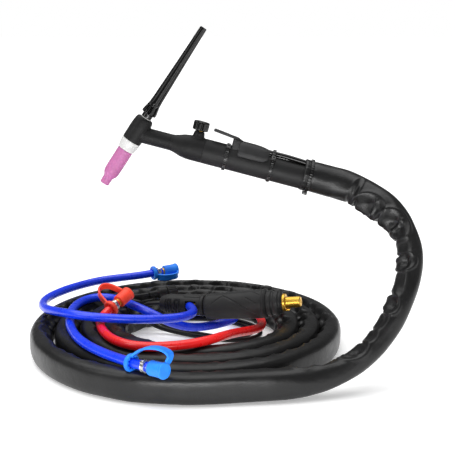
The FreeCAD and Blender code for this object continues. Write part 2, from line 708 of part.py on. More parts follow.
PLUG_JOINT = Vector(13, 15, 42.8)
PLUG_YAW = math.radians(-15)


def plug_frame(pitch, origin):
    pitch = math.radians(pitch)
    along = Vector(math.cos(pitch) * math.cos(PLUG_YAW), math.cos(pitch) * math.sin(PLUG_YAW), math.sin(pitch))
    return frame_at(origin, Vector(0, 0, 1), along)


PLUG = plug_frame(7.5, PLUG_JOINT)
PLUG_REAR = plug_frame(1.7, PLUG_JOINT + Vector(0, 0, 1.5))


def plug_parts():
    bore = D["plug_bore"]
    length, collar, flange = D["sleeve_length"], D["collar_end"], D["flange_end"]
    turned_part("plug_sleeve", [
        (bore, 0), (D["sleeve_rear_radius"] - 1.5, 0), (D["sleeve_rear_radius"], 3),
        (D["sleeve_radius"], length - 22), (D["sleeve_radius"], length - 1.5),
        (D["sleeve_radius"] - 1.5, length), (bore, length),
    ], PLUG)
    turned_part("plug_collar", [
        (bore, length), (D["collar_radius"], length), (D["collar_radius"], length + 6),
        (D["collar_radius"] - 1.2, length + 7), (D["collar_radius"] - 1.6, collar - 1.5),
        (D["collar_radius"] - 3.1, collar), (bore, collar),
    ], PLUG)
    pin = new_body("plug_pin", PLUG)
    shank = bore - D["running_gap"]
    revolve(pin, [
        (0, 4), (shank, 4), (shank, collar), (D["flange_radius"], collar),
        (D["flange_radius"], flange), (D["pin_size"], flange), (D["pin_size"], D["pin_end"] - 1),
        (D["pin_size"] - 1, D["pin_end"]), (0, D["pin_end"]),
    ])
    nub = outline(pin, rectangle(-(D["flange_radius"] - 0.4), -(D["pin_size"] + 1.4), -2, 2), "XY_Plane",
                  lift=SIZES["flange_end"] - 1)
    extrude(pin, nub, 5.0)
    rear = new_body("plug_rear_sleeve", PLUG_REAR)
    radius, back = D["rear_radius"], -D["rear_length"]
    revolve(rear, [
        (bore, -1.5), (radius + 0.8, -1.5), (radius + 0.8, -6), (radius, -6.5), (radius, back + 12),
        (8.5, back), (D["power_radius"] + 0.1, back), (D["power_radius"] + 0.1, back + 4), (bore, back + 4),
    ])
    slot = outline(rear, rectangle(-6.4, 6.4, bore - 1, radius + 3), "XY_Plane", -5.0, lift=-29.5)
    extrude(rear, slot, 21.5, cut=True)
    core = new_body("plug_cable_clamp", PLUG_REAR)
    revolve(core, rectangle(0, 6.4, back + 8, -30))
    entry = new_body("plug_gas_elbow", PLUG_REAR)
    revolve(entry, rectangle(0, 6.4, -29, -9))


# Each hose ends at a point, heading along its last run; the cap's ring sits this far back along it.
ENDS = {
    "gas": {"route": GAS_HOSE, "ring": -12.5},
    "water_in": {"route": WATER_IN_HOSE, "ring": -26.0},
    "water_out": {"route": WATER_OUT_HOSE, "ring": -11.0},
}
# Straps from each ring's face to its cap's side, as (up, sideways, along) in the hose end's own frame.
STRAPS = {
    "gas": [
        (-4.5, 6.6, -10.0), (-5.4, 9.5, -5.5), (-5.8, 12.6, 2.5), (-5.8, 13.6, 11.0), (-4.8, 13.2, 18.0),
        (-3.4, 7.9, 20.2),
    ],
    "water_in": [
        (7.8, -1.0, -23.5), (12.5, -1.8, -18.0), (18.0, -3.0, -8.0), (20.5, -4.0, 3.5), (20.5, -5.5, 14.0),
        (17.0, -8.0, 21.5), (11.5, -9.5, 21.8), (6.5, -5.6, 20.2),
    ],
    "water_out": [
        (0.5, -8.0, -8.5), (2.0, -13.0, -6.0), (6.0, -23.0, -3.0), (9.0, -31.0, 2.0), (11.5, -31.0, 9.5),
        (10.5, -24.5, 15.0), (6.0, -17.0, 18.0), (2.8, -12.0, 19.3), (1.8, -8.4, 19.3),
    ],
}


def end_frame(route):
    return frame_at(route[-1], Vector(0, 0, 1), Vector(route[-1]) - Vector(route[-2]))


def hose_end_parts():
    clamps, rings = [], []
    for name, end in ENDS.items():
        place = end_frame(end["route"])
        nipple, collar = D["nipple_radius"], D["nipple_collar"]
        turned_part(name + "_nipple", [
            (0, 0), (collar, 0), (collar, D["cap_foot"] - 0.1), (nipple, D["cap_foot"] - 0.1),
            (nipple, D["nipple_length"]), (0, D["nipple_length"]),
        ], place)
        cap_end = D["cap_foot"] + D["cap_length"]
        turned_part(name + "_cap", [
            (nipple + D["running_gap"], D["cap_foot"]), (D["cap_radius"] - 0.6, D["cap_foot"]),
            (D["cap_radius"], D["cap_foot"] + 1), (D["cap_radius"] + 0.1, cap_end - 1), (D["cap_radius"] - 0.9, cap_end),
            (0, cap_end), (0, D["nipple_length"] + 0.3), (nipple + D["running_gap"], D["nipple_length"] + 0.3),
        ], place)
        corners = [tuple(place.multVec(Vector(*corner))) for corner in STRAPS[name]]
        cord_part(name + "_cap_tether", corners, SIZES["tether_radius"])
        for size, low, long, group in (
            ("clamp_radius", -8.0, 5.0, clamps),
            ("ring_radius", end["ring"] - 2.5, 5.0, rings),
        ):
            rim = doc.addObject("Part::Cylinder", "rim")
            rim.setExpression("Radius", D[size].text)
            hole = doc.addObject("Part::Cylinder", "hole")
            hole.setExpression("Radius", (D["hose_radius"] + 0.1).text)
            for item in (rim, hole):
                item.Height = long
                item.Placement = place.multiply(Placement(Vector(0, 0, low), Rotation()))
            cut = doc.addObject("Part::Cut", "collar")
            cut.Base, cut.Tool = rim, hole
            group.append(cut)
    keep(rings.pop(), "water_out_cap_ring")
    for label, links in (("hose_clamps", clamps), ("blue_cap_rings", rings)):
        group = doc.addObject("Part::Compound", label + "_group")
        group.Links = links
        keep(group, label)


def cord_parts():
    cord_part("gas_hose", GAS_HOSE, SIZES["hose_radius"])
    cord_part("water_in_hose", WATER_IN_HOSE, SIZES["hose_radius"])
    cord_part("water_out_hose", WATER_OUT_HOSE, SIZES["hose_radius"])
    cord_part("power_cable", POWER_CABLE, SIZES["power_radius"])
    cord_part("control_cable", CONTROL_CABLE, SIZES["control_radius"])


def control_plug_parts():
    place = end_frame(CONTROL_CABLE)
    place.Base.z = CONTROL_CABLE[-1][2]
    turned_part("control_plug", [
        (0, 0), (3.2, 0), (4.0, 10), (6.8, 13), (6.8, 24), (5.2, 24), (5.2, 39), (0, 39),
    ], place)
    turned_part("control_plug_ring", rectangle(5.25, 7.8, 24.1, 37), place)


head_parts()
back_cap()
nozzle_parts()
valve_parts()
handle_parts()
switch_parts()
tie_parts()
sheath_parts()
plug_parts()
cord_parts()
hose_end_parts()
control_plug_parts()
doc.recompute()

failed = [item.Name for item in doc.Objects if "Invalid" in item.State or "Error" in item.State]
bad = [item.Label for item in nodes if item.Shape.isNull() or not item.Shape.isValid()]
if failed or bad:
    raise ValueError(f"failed objects {failed}, bad shapes {bad}")
os.makedirs("parts", exist_ok=True)
for item in nodes:
    item.Shape.exportStep(f"parts/{item.Label}.step")
print(len(nodes), "nodes written")
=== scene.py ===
import bmesh
import bpy
import json
import math
import random
from mathutils import Matrix, Vector, noise


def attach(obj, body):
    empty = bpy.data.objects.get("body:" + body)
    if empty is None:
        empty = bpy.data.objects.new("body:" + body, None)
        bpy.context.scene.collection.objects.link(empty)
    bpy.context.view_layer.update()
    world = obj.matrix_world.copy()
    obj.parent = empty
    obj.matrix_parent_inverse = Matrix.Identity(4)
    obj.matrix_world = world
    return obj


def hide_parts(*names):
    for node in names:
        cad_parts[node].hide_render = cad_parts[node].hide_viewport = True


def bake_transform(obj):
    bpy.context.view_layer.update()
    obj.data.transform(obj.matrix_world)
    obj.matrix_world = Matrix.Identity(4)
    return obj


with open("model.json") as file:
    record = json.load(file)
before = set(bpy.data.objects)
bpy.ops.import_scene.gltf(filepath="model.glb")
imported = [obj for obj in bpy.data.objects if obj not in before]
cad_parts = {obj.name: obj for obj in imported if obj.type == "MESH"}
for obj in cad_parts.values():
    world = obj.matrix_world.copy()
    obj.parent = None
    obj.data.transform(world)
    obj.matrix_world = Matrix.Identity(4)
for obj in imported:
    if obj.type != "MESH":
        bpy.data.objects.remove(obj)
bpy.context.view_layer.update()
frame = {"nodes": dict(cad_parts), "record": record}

# A water-cooled TIG torch lying on its own coiled lead. Lengths below are in millimetres.
MM = 0.001
ROOT = "torch_and_lead"


# ---------------------------------------------------------------- frames
def frame_at(origin, up, along):
    """A placement with +X up, +Z along a direction, and +Y completing the set, in metres."""
    along = Vector(along).normalized()
    side = along.cross(Vector(up)).normalized()
    top = side.cross(along)
    rows = Matrix((top, side, along)).transposed().to_4x4()
    return Matrix.Translation(Vector(origin) * MM) @ rows


TILT = math.radians(33.4)
DROP = math.radians(14.8)
JOINT = Vector((-62.5, -43.0, 261.0))
HEAD_UP = Vector((math.sin(TILT), 0, math.cos(TILT)))
BACK = Vector((math.cos(DROP), 0, -math.sin(DROP)))
RISE = Vector((math.sin(DROP), 0, math.cos(DROP)))
HEAD = frame_at(JOINT, (1, 0, 0), HEAD_UP)
HANDLE = frame_at(JOINT, RISE, BACK)
VALVE = frame_at(JOINT + BACK * 68.0, BACK, RISE)
YAW = math.radians(-15)


def plug_frame(pitch, origin):
    pitch = math.radians(pitch)
    flat = math.cos(pitch)
    along = Vector((flat * math.cos(YAW), flat * math.sin(YAW), math.sin(pitch)))
    return frame_at(origin, (0, 0, 1), along)


PLUG = plug_frame(7.5, (13, 15, 42.8))
PLUG_REAR = plug_frame(1.7, (13, 15, 44.3))


# ---------------------------------------------------------------- routes, the same points as the CAD
RISER = [
    (123.4, -43, 215.0), (150.5, -43.2, 207.8), (176.3, -48, 201.5), (196.6, -58, 191.5),
    (217.5, -73, 177.5), (229.5, -88, 160.5), (235.5, -103, 138.0), (231.5, -116, 114.5),
    (221.7, -128, 89.8), (205.9, -138, 63.5), (185.5, -148, 42.0), (160.5, -158, 27.5),
    (127.5, -168, 18.6), (93.5, -176.3, 17.7),
]
GAS_HOSE = [
    (-7.2, 11.2, 44.5), (-2.5, -4, 45.7), (-1.5, -20, 46.0), (-9, -36, 46.4), (-25, -46, 47.0),
    (-54, -55, 48.5), (-88, -60, 51.0), (-120, -52.6, 51.0), (-148.7, -38, 51.0),
    (-176, -6, 45.0), (-190, 28, 40.0), (-191.5, 58, 39.6), (-180, 90, 39.6), (-160, 122, 39.6),
    (-133, 150, 39.6), (-107, 161, 40.2), (-82, 166.5, 41.8), (-66, 173.5, 42.8), (-52, 181, 43.4),
]
WATER_IN_HOSE = [
    (-20, 88.5, 13), (-3, 91.2, 13), (14, 92.4, 13), (31.1, 88.2, 13), (44, 76.2, 15),
    (49.4, 59.5, 17), (46.1, 42.2, 17.5), (34.8, 28.7, 18), (20, 18.5, 17.6), (0, 10, 17.8),
    (-16, 7.2, 20.5), (-34.5, 1.5, 28.5), (-55, 6.5, 38), (-76, 24, 41.5), (-89, 45, 40),
    (-107, 64, 39.6), (-128, 68, 39.6), (-143, 52, 39.6), (-150.5, 23, 39.6), (-149, -14, 39.6),
    (-141.3, -57, 39.6), (-127, -95.5, 39.6), (-110.5, -122.3, 39.6), (-88.7, -148.1, 39.6),
    (-66, -171, 40.8), (-52.5, -183.8, 41.8), (-39.5, -195, 42.7),
]
WATER_OUT_HOSE = [
    (-22, 93.5, 25), (2, 98, 25), (27, 93, 25), (50, 79, 25), (69, 58, 26), (80, 32, 25),
    (82, 6, 20.5), (68, -18, 23.5), (49, -54, 32.5), (35, -86.7, 39.8), (18, -104, 40.0),
    (-2, -115, 39.6), (-26, -122.5, 39.6), (-50, -124.5, 39.6), (-71, -116, 39.6),
    (-88, -99, 39.6), (-100, -76, 39.6), (-108, -49, 39.6), (-110.5, -29, 39.8),
    (-107.5, -14.5, 42), (-100, -4, 47), (-94, 3.7, 50.8),
]
POWER_CABLE = [
    (-23.5, 98.5, 5.5), (4, 102, 3.6), (33, 95, 3.1), (60, 78, 3.1), (79, 52, 3.1), (81, 26, 3.1),
    (65, 8, 3.1), (40, 5, 3.1), (14, 14, 3.1), (-10, 27, 3.1), (-33, 38, 4.5), (-51, 42, 9.0),
    (-64, 41, 18), (-69, 39, 28.5), (-65, 36, 38.5), (-51.5, 32.3, 42.4), (-37, 28.4, 42.8),
]
CONTROL_CABLE = [
    (-21, 90, 3.4), (6, 93, 2.6), (30, 86, 2.6), (54, 70, 2.6), (69, 49, 2.6), (69, 31, 2.6),
    (56, 19, 2.6), (38, 17, 2.6), (16, 26, 2.6), (-8, 40, 2.6), (-27, 51, 3.0), (-43, 55, 7.0),
    (-54, 53, 15), (-61.5, 49.5, 25.5), (-66, 46, 36.9), (-71, 43.6, 40.3), (-79.3, 44.9, 41.5),
    (-83.7, 51.9, 42.2), (-81.6, 59.9, 42.4), (-71.5, 65.3, 42.4), (-61.3, 70.7, 42.4),
]
COIL_START = -60.0
COIL_RADIUS = 190.25
COIL_PITCH = 27.0
COIL_CENTRE = (-4.5, -2.5)
COIL_DRIFT = (2.0, 1.2)
COIL_HEIGHT = 17.2
COIL_BEGIN = 0.09
COIL_FINISH = 3.5417
POINTS_A_TURN = 16


def coil_point(turns):
    """A point of the spiral's centreline, some turns in from its start."""
    angle = math.radians(COIL_START - 360 * turns)
    radius = COIL_RADIUS - COIL_PITCH * turns
    x = COIL_CENTRE[0] + COIL_DRIFT[0] * turns + radius * math.cos(angle)
    y = COIL_CENTRE[1] + COIL_DRIFT[1] * turns + radius * math.sin(angle)
    return (x, y, COIL_HEIGHT)


def lead_route():
    """The sheath's riser, then the coil's turns."""
    count = round((COIL_FINISH - COIL_BEGIN) * POINTS_A_TURN)
    step = (COIL_FINISH - COIL_BEGIN) / count
    return RISER + [coil_point(COIL_BEGIN + step * index) for index in range(count + 1)]


def smooth_line(route, fineness):
    """Points read from the NURBS spline whose control points are the route's, in metres."""
    curve = bpy.data.curves.new("line", "CURVE")
    curve.dimensions = "3D"
    spline = curve.splines.new("NURBS")
    spline.points.add(len(route) - 1)
    for point, place in zip(spline.points, route):
        point.co = (place[0] * MM, place[1] * MM, place[2] * MM, 1)
    spline.order_u = 3
    spline.use_endpoint_u = True
    spline.resolution_u = fineness
    holder = bpy.data.objects.new("line", curve)
    bpy.context.scene.collection.objects.link(holder)
    mesh = bpy.data.meshes.new_from_object(holder)
    points = [vertex.co.copy() for vertex in mesh.vertices]
    bpy.data.objects.remove(holder)
    bpy.data.curves.remove(curve)
    bpy.data.meshes.remove(mesh)
    return points


def line_length(points):
    return sum((b - a).length for a, b in zip(points, points[1:]))


# ---------------------------------------------------------------- materials
def new_material(name, base, roughness, metallic=0.0):
    material = bpy.data.materials.new(name)
    material.use_nodes = True
    shader = material.node_tree.nodes["Principled BSDF"]
    shader.inputs["Base Color"].default_value = (*base, 1)
    shader.inputs["Roughness"].default_value = roughness
    shader.inputs["Metallic"].default_value = metallic
    return material, material.node_tree, shader


def node(tree, kind, **settings):
    made = tree.nodes.new(kind)
    for key, value in settings.items():
        if key in made.inputs:
            made.inputs[key].default_value = value
        else:
            setattr(made, key, value)
    return made


def coordinates(tree, stretch=(1, 1, 1)):
    where = node(tree, "ShaderNodeTexCoord")
    mapping = node(tree, "ShaderNodeMapping", Scale=stretch)
    tree.links.new(where.outputs["Object"], mapping.inputs["Vector"])
    return mapping.outputs["Vector"]


def noise_of(tree, scale, detail, rough=0.55, stretch=(1, 1, 1)):
    made = node(tree, "ShaderNodeTexNoise", Scale=scale, Detail=detail, Roughness=rough)
    tree.links.new(coordinates(tree, stretch), made.inputs["Vector"])
    return made.outputs["Fac"]


def ramp_of(tree, factor, low, high, start=0.35, stop=0.65):
    """Runs from one colour to another as the factor goes from start to stop."""
    made = node(tree, "ShaderNodeValToRGB")
    made.color_ramp.elements[0].position = start
    made.color_ramp.elements[1].position = stop
    made.color_ramp.elements[0].color = (*low, 1)
    made.color_ramp.elements[1].color = (*high, 1)
    tree.links.new(factor, made.inputs["Fac"])
    return made.outputs["Color"]


def range_of(tree, factor, low, high, start=0.3, stop=0.7):
    made = node(tree, "ShaderNodeMapRange")
    made.inputs["From Min"].default_value = start
    made.inputs["From Max"].default_value = stop
    made.inputs["To Min"].default_value = low
    made.inputs["To Max"].default_value = high
    tree.links.new(factor, made.inputs["Value"])
    return made.outputs["Result"]


def bump_of(tree, shader, layers):
    """Stacks bump layers of (height, distance in metres) under the shader's normal."""
    previous = None
    for height, distance in layers:
        made = node(tree, "ShaderNodeBump", Strength=1.0, Distance=distance)
        tree.links.new(height, made.inputs["Height"])
        if previous is not None:
            tree.links.new(previous, made.inputs["Normal"])
        previous = made.outputs["Normal"]
    tree.links.new(previous, shader.inputs["Normal"])


def moulded(name, low, high, rough, grain=900.0, depth=0.00006, sheen=0.0, mirror=0.3):
    """Moulded rubber or plastic: a fine grain with a depth in metres, faint mottling and uneven gloss."""
    material, tree, shader = new_material(name, high, rough[0])
    mottle = noise_of(tree, 55.0, 5.0)
    tree.links.new(ramp_of(tree, mottle, low, high), shader.inputs["Base Color"])
    handled = noise_of(tree, 28.0, 6.0, 0.6)
    tree.links.new(range_of(tree, handled, *rough), shader.inputs["Roughness"])
    shader.inputs["Sheen Weight"].default_value = sheen
    shader.inputs["Specular IOR Level"].default_value = mirror
    fine = noise_of(tree, grain, 3.0, 0.5)
    soft = noise_of(tree, 120.0, 3.0, 0.5)
    bump_of(tree, shader, [(soft, depth * 1.6), (fine, depth)])
    return material


def leatherette(name):
    """Coated cloth: pebbled grain, long soft creases, and a gloss that varies."""
    material, tree, shader = new_material(name, (0.02, 0.02, 0.021), 0.48)
    mottle = noise_of(tree, 26.0, 6.0, 0.6)
    shade = ramp_of(tree, mottle, (0.0048, 0.0048, 0.005), (0.0098, 0.0098, 0.0101), 0.3, 0.7)
    tree.links.new(shade, shader.inputs["Base Color"])
    shader.inputs["Specular IOR Level"].default_value = 0.38
    worn = noise_of(tree, 40.0, 6.0, 0.65)
    tree.links.new(range_of(tree, worn, 0.28, 0.42), shader.inputs["Roughness"])
    pebble = node(tree, "ShaderNodeTexVoronoi", feature="SMOOTH_F1", Scale=850.0)
    tree.links.new(coordinates(tree), pebble.inputs["Vector"])
    crease = noise_of(tree, 70.0, 5.0, 0.6)
    bump_of(tree, shader, [(crease, 0.0005), (pebble.outputs["Distance"], 0.00008)])
    return material


def hose_skin(name, low, high):
    """Extruded PVC hose: glossy, with slight ripples, scuffs and colour drift."""
    material, tree, shader = new_material(name, high, 0.3)
    drift = noise_of(tree, 22.0, 4.0)
    tree.links.new(ramp_of(tree, drift, low, high, 0.3, 0.7), shader.inputs["Base Color"])
    scuff = noise_of(tree, 160.0, 6.0, 0.7)
    tree.links.new(range_of(tree, scuff, 0.24, 0.42, 0.35, 0.75), shader.inputs["Roughness"])
    shader.inputs["Coat Weight"].default_value = 0.25
    shader.inputs["Coat Roughness"].default_value = 0.12
    shader.inputs["Subsurface Weight"].default_value = 0.06
    shader.inputs["Subsurface Scale"].default_value = 0.002
    ripple = noise_of(tree, 90.0, 3.0)
    bump_of(tree, shader, [(ripple, 0.0001), (scuff, 0.000015)])
    return material


def turned_metal(name, low, high, rough=(0.2, 0.34)):
    """Machined metal: fine turning marks and uneven polish."""
    material, tree, shader = new_material(name, high, rough[0], 1.0)
    stain = noise_of(tree, 70.0, 6.0, 0.65)
    tree.links.new(ramp_of(tree, stain, low, high, 0.3, 0.7), shader.inputs["Base Color"])
    polish = noise_of(tree, 240.0, 5.0, 0.6)
    tree.links.new(range_of(tree, polish, *rough), shader.inputs["Roughness"])
    marks = noise_of(tree, 1400.0, 2.0, 0.5, (1.0, 0.15, 0.15))
    bump_of(tree, shader, [(marks, 0.00001)])
    return material


def fired_ceramic(name, low, high):
    """Unglazed fired ceramic: powdery and speckled."""
    material, tree, shader = new_material(name, high, 0.55)
    speck = noise_of(tree, 420.0, 6.0, 0.7)
    tree.links.new(ramp_of(tree, speck, low, high, 0.32, 0.6), shader.inputs["Base Color"])
    bloom = noise_of(tree, 60.0, 4.0)
    tree.links.new(range_of(tree, bloom, 0.46, 0.62), shader.inputs["Roughness"])
    shader.inputs["Subsurface Weight"].default_value = 0.08
    shader.inputs["Subsurface Scale"].default_value = 0.001
    bump_of(tree, shader, [(speck, 0.00005), (bloom, 0.0001)])
    return material


def make_materials():
    """Every look, from the darker to the lighter colour of its mottling."""
    black = (0.008, 0.008, 0.0083)
    return {
        "head_rubber": moulded(
            "head_rubber", (0.005, 0.005, 0.0052), (0.0082, 0.0082, 0.0085), (0.48, 0.62),
            grain=700.0, depth=0.00008, sheen=0.02, mirror=0.24,
        ),
        "black_plastic": moulded("black_plastic", black, (0.012, 0.012, 0.0123), (0.42, 0.56), 1300.0, 0.00005),
        "handle_plastic": moulded(
            "handle_plastic", (0.0075, 0.0075, 0.0078), (0.0125, 0.0125, 0.0128), (0.46, 0.6), grain=1700.0,
        ),
        "gloss_black": moulded(
            "gloss_black", (0.002, 0.002, 0.002), (0.004, 0.004, 0.004), (0.1, 0.14),
            grain=260.0, depth=0.000001, mirror=0.45,
        ),
        "switch_plastic": moulded(
            "switch_plastic", (0.017, 0.017, 0.0175), (0.025, 0.025, 0.026), (0.44, 0.56),
            grain=1500.0, depth=0.00004,
        ),
        "grey_washer": moulded("grey_washer", (0.4, 0.4, 0.39), (0.52, 0.52, 0.5), (0.35, 0.5)),
        "brass": turned_metal("brass", (0.74, 0.43, 0.06), (0.86, 0.53, 0.09), (0.34, 0.48)),
        "copper_tube": turned_metal("copper_tube", (0.6, 0.33, 0.18), (0.78, 0.45, 0.27)),
        "tungsten": turned_metal("tungsten", (0.33, 0.33, 0.35), (0.5, 0.5, 0.52)),
        "steel": turned_metal("steel", (0.5, 0.49, 0.47), (0.74, 0.73, 0.7), (0.18, 0.36)),
        "white_insulator": moulded(
            "white_insulator", (0.56, 0.56, 0.55), (0.66, 0.66, 0.65), (0.32, 0.46),
            grain=500.0, depth=0.00004, mirror=0.5,
        ),
        "pink_ceramic": fired_ceramic("pink_ceramic", (0.38, 0.11, 0.27), (0.48, 0.145, 0.345)),
        "seal_rubber": moulded("seal_rubber", (0.006, 0.006, 0.006), (0.009, 0.009, 0.009), (0.35, 0.45)),
        "cable_tie": moulded(
            "cable_tie", (0.0035, 0.0035, 0.0038), (0.007, 0.007, 0.0073), (0.2, 0.32),
            grain=600.0, depth=0.00003, mirror=0.5,
        ),
        "inner_hose": moulded("inner_hose", black, (0.012, 0.012, 0.012), (0.45, 0.6)),
        "sheath_leather": leatherette("sheath_leather"),
        "plug_rubber": moulded(
            "plug_rubber", (0.009, 0.009, 0.0093), (0.0145, 0.0145, 0.015), (0.46, 0.6),
            depth=0.00007, sheen=0.04,
        ),
        "blue_hose": hose_skin("blue_hose", (0.002, 0.03, 0.7), (0.004, 0.055, 0.92)),
        "red_hose": hose_skin("red_hose", (0.8, 0.006, 0.008), (0.98, 0.014, 0.014)),
        "blue_cap": moulded(
            "blue_cap", (0.008, 0.17, 0.78), (0.014, 0.25, 0.92), (0.38, 0.5),
            grain=500.0, depth=0.00005, sheen=0.05,
        ),
        "red_cap": moulded(
            "red_cap", (0.9, 0.045, 0.02), (0.99, 0.085, 0.04), (0.38, 0.5),
            grain=500.0, depth=0.00005, sheen=0.05,
        ),
        "cable_jacket": moulded(
            "cable_jacket", (0.006, 0.006, 0.0063), (0.0105, 0.0105, 0.011), (0.32, 0.45),
            grain=800.0, depth=0.00004,
        ),
    }


MATERIALS = make_materials()
SLOT_OF = {item["node"]: item["material_slot"] for item in frame["record"]["subparts"]}


def dress(obj, slot, look=None):
    """Gives a piece its material: the look's if one is given, and the slot's otherwise."""
    obj.data.materials.clear()
    obj.data.materials.append(MATERIALS[look or slot])
    return obj


for name, item in frame["nodes"].items():
    item.data.materials.clear()
    item.data.materials.append(MATERIALS[SLOT_OF[name]])


# ---------------------------------------------------------------- mesh helpers
def mesh_piece(name, vertices, faces, smooth=True):
    mesh = bpy.data.meshes.new(name)
    mesh.from_pydata(vertices, [], faces)
    work = bmesh.new()
    work.from_mesh(mesh)
    bmesh.ops.remove_doubles(work, verts=work.verts, dist=0.000002)
    bmesh.ops.recalc_face_normals(work, faces=work.faces)
    work.to_mesh(mesh)
    work.free()
    piece = bpy.data.objects.new(name, mesh)
    bpy.context.scene.collection.objects.link(piece)
    for polygon in mesh.polygons:
        polygon.use_smooth = smooth
    return piece


def settle(piece, body, slot, stands_for=(), look=None):
    """Gives the piece its material, from the look or else the slot, hides the CAD nodes it replaces, and hangs
    it on the body it rides on.
    """
    dress(piece, slot, look)
    if stands_for:
        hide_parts(*([stands_for] if isinstance(stands_for, str) else stands_for))
    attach(piece, body)
    return piece


def applied(piece, *modifiers):
    """Adds modifiers, given as (kind, settings), and applies them to the piece's mesh."""
    for index, (kind, settings) in enumerate(modifiers):
        modifier = piece.modifiers.new(f"step_{index}", kind)
        for key, value in settings.items():
            setattr(modifier, key, value)
    graph = bpy.context.evaluated_depsgraph_get()
    mesh = bpy.data.meshes.new_from_object(piece.evaluated_get(graph))
    piece.modifiers.clear()
    old = piece.data
    piece.data = mesh
    bpy.data.meshes.remove(old)
    return piece


def joined(name, pieces):
    """One piece made of several, with their meshes put together."""
    vertices, faces = [], []
    for piece in pieces:
        start = len(vertices)
        vertices += [vertex.co.copy() for vertex in piece.data.vertices]
        faces += [tuple(start + index for index in polygon.vertices) for polygon in piece.data.polygons]
        drop(piece)
    return mesh_piece(name, vertices, faces)


def drop(piece):
    mesh = piece.data
    bpy.data.objects.remove(piece)
    bpy.data.meshes.remove(mesh)


def rounded(corners, size, closed):
    """Rounds an outline's corners by up to a size."""
    steps = 4
    made = []
    for index, corner in enumerate(corners):
        if not closed and index in (0, len(corners) - 1):
            made.append(tuple(corner))
            continue
        here = Vector(corner)
        before, after = Vector(corners[index - 1]), Vector(corners[(index + 1) % len(corners)])
        first = here + (before - here).normalized() * min(size, (before - here).length * 0.45)
        last = here + (after - here).normalized() * min(size, (after - here).length * 0.45)
        for step in range(steps):
            t = step / (steps - 1)
            made.append(tuple(first.lerp(here, t).lerp(here.lerp(last, t), t)))
    return made


def finer(corners, reach):
    """Adds points so that no step along an outline is longer than a reach."""
    made = [corners[0]]
    for before, after in zip(corners, corners[1:]):
        count = max(1, math.ceil((Vector(after) - Vector(before)).length / reach))
        made += [tuple(Vector(before).lerp(Vector(after), step / count)) for step in range(1, count + 1)]
    return made


def loft(name, place, rings, closed=False):
    """A skin over rings of (x, y, z) points in a frame, with flat ends unless it closes on itself."""
    count = len(rings[0])
    vertices = [place @ (Vector(point) * MM) for ring in rings for point in ring]
    faces = []
    for index in range(len(rings) if closed else len(rings) - 1):
        low, high = index * count, (index + 1) % len(rings) * count
        faces += [(low + k, low + (k + 1) % count, high + (k + 1) % count, high + k) for k in range(count)]
    if not closed:
        faces.append(tuple(range(count)))
        faces.append(tuple((len(rings) - 1) * count + k for k in range(count)))
    return mesh_piece(name, vertices, faces)


def lathe(name, place, profile, size, sides, wave=None, closed=False, reach=None):
    """Turns a (radius, height) profile, rounded by a size, about a frame's Z. The wave adds to the radius."""
    outline = rounded(profile, size, closed)
    if reach:
        outline = finer(outline, reach)
    rings = []
    for radius, height in outline:
        ring = []
        for step in range(sides):
            angle = 2 * math.pi * step / sides
            out = max(radius + (wave(radius, height, angle) if wave else 0.0), 0.0) if radius else 0.0
            ring.append((out * math.cos(angle), out * math.sin(angle), height))
        rings.append(ring)
    return loft(name, place, rings, closed)


def prism(name, place, corners, low, high, size, across, bevel):
    """An outline pushed along Z from low to high, or along Y where its corners are (x, z)."""
    outline = rounded(corners, size, True) if size else corners
    rings = []
    for level in (low, high):
        rings.append([(x, y, level) if across == "z" else (x, level, y) for x, y in outline])
    piece = loft(name, place, rings)
    if bevel:
        settings = {"width": bevel * MM, "segments": 3, "limit_method": "ANGLE", "angle_limit": 0.9}
        applied(piece, ("BEVEL", settings))
    return piece


def box_at(name, place, low, high, turn=0.0, bevel=0.0):
    """A box between two corners of a frame, turned about the frame's Z axis."""
    turned = place @ Matrix.Rotation(math.radians(turn), 4, "Z")
    corners = [(low[0], low[1]), (high[0], low[1]), (high[0], high[1]), (low[0], high[1])]
    return prism(name, turned, corners, low[2], high[2], 0, "z", bevel)


def cut_away(piece, *tools):
    """Cuts the tools' shapes out of the piece, and deletes the tools."""
    for tool in tools:
        applied(piece, ("BOOLEAN", {"operation": "DIFFERENCE", "solver": "EXACT", "object": tool}))
        drop(tool)
    return piece


def shade_by_angle(piece, degrees):
    """Smooth shading, with creases at edges sharper than the angle."""
    for edge in piece.data.edges:
        edge.use_edge_sharp = False
    piece.data.set_sharp_from_angle(angle=math.radians(degrees))
    for polygon in piece.data.polygons:
        polygon.use_smooth = True
    return piece


def near(value, centre, width):
    """A bell curve: 1 at the centre, and 0.37 a width away from it."""
    return math.exp(-((value - centre) / width) ** 2)


def ease(value, start, stop):
    """Runs smoothly from 0 at start to 1 at stop."""
    share = min(max((value - start) / (stop - start), 0.0), 1.0)
    return share * share * (3 - 2 * share)


def tube_mesh(name, points, section, sides, side_at=None):
    """Sweeps a section along points: section(distance, angle) gives its two offsets in mm."""
    rings = []
    travelled = 0.0
    side = Vector((0, 0, 1))
    for index, place in enumerate(points):
        before = points[max(index - 1, 0)]
        after = points[min(index + 1, len(points) - 1)]
        along = (after - before).normalized()
        if index:
            travelled += (place - points[index - 1]).length / MM
        if side_at is not None:
            side = side_at(place, travelled)
        elif abs(side.dot(along)) > 0.95:
            side = Vector((1, 0, 0))
        side = (side - along * side.dot(along)).normalized()
        up = side.cross(along)
        ring = []
        for step in range(sides):
            reach_side, reach_up = section(travelled, 2 * math.pi * step / sides)
            ring.append((place + side * (reach_side * MM) + up * (reach_up * MM)) / MM)
        rings.append(ring)
    return loft(name, Matrix.Identity(4), rings)


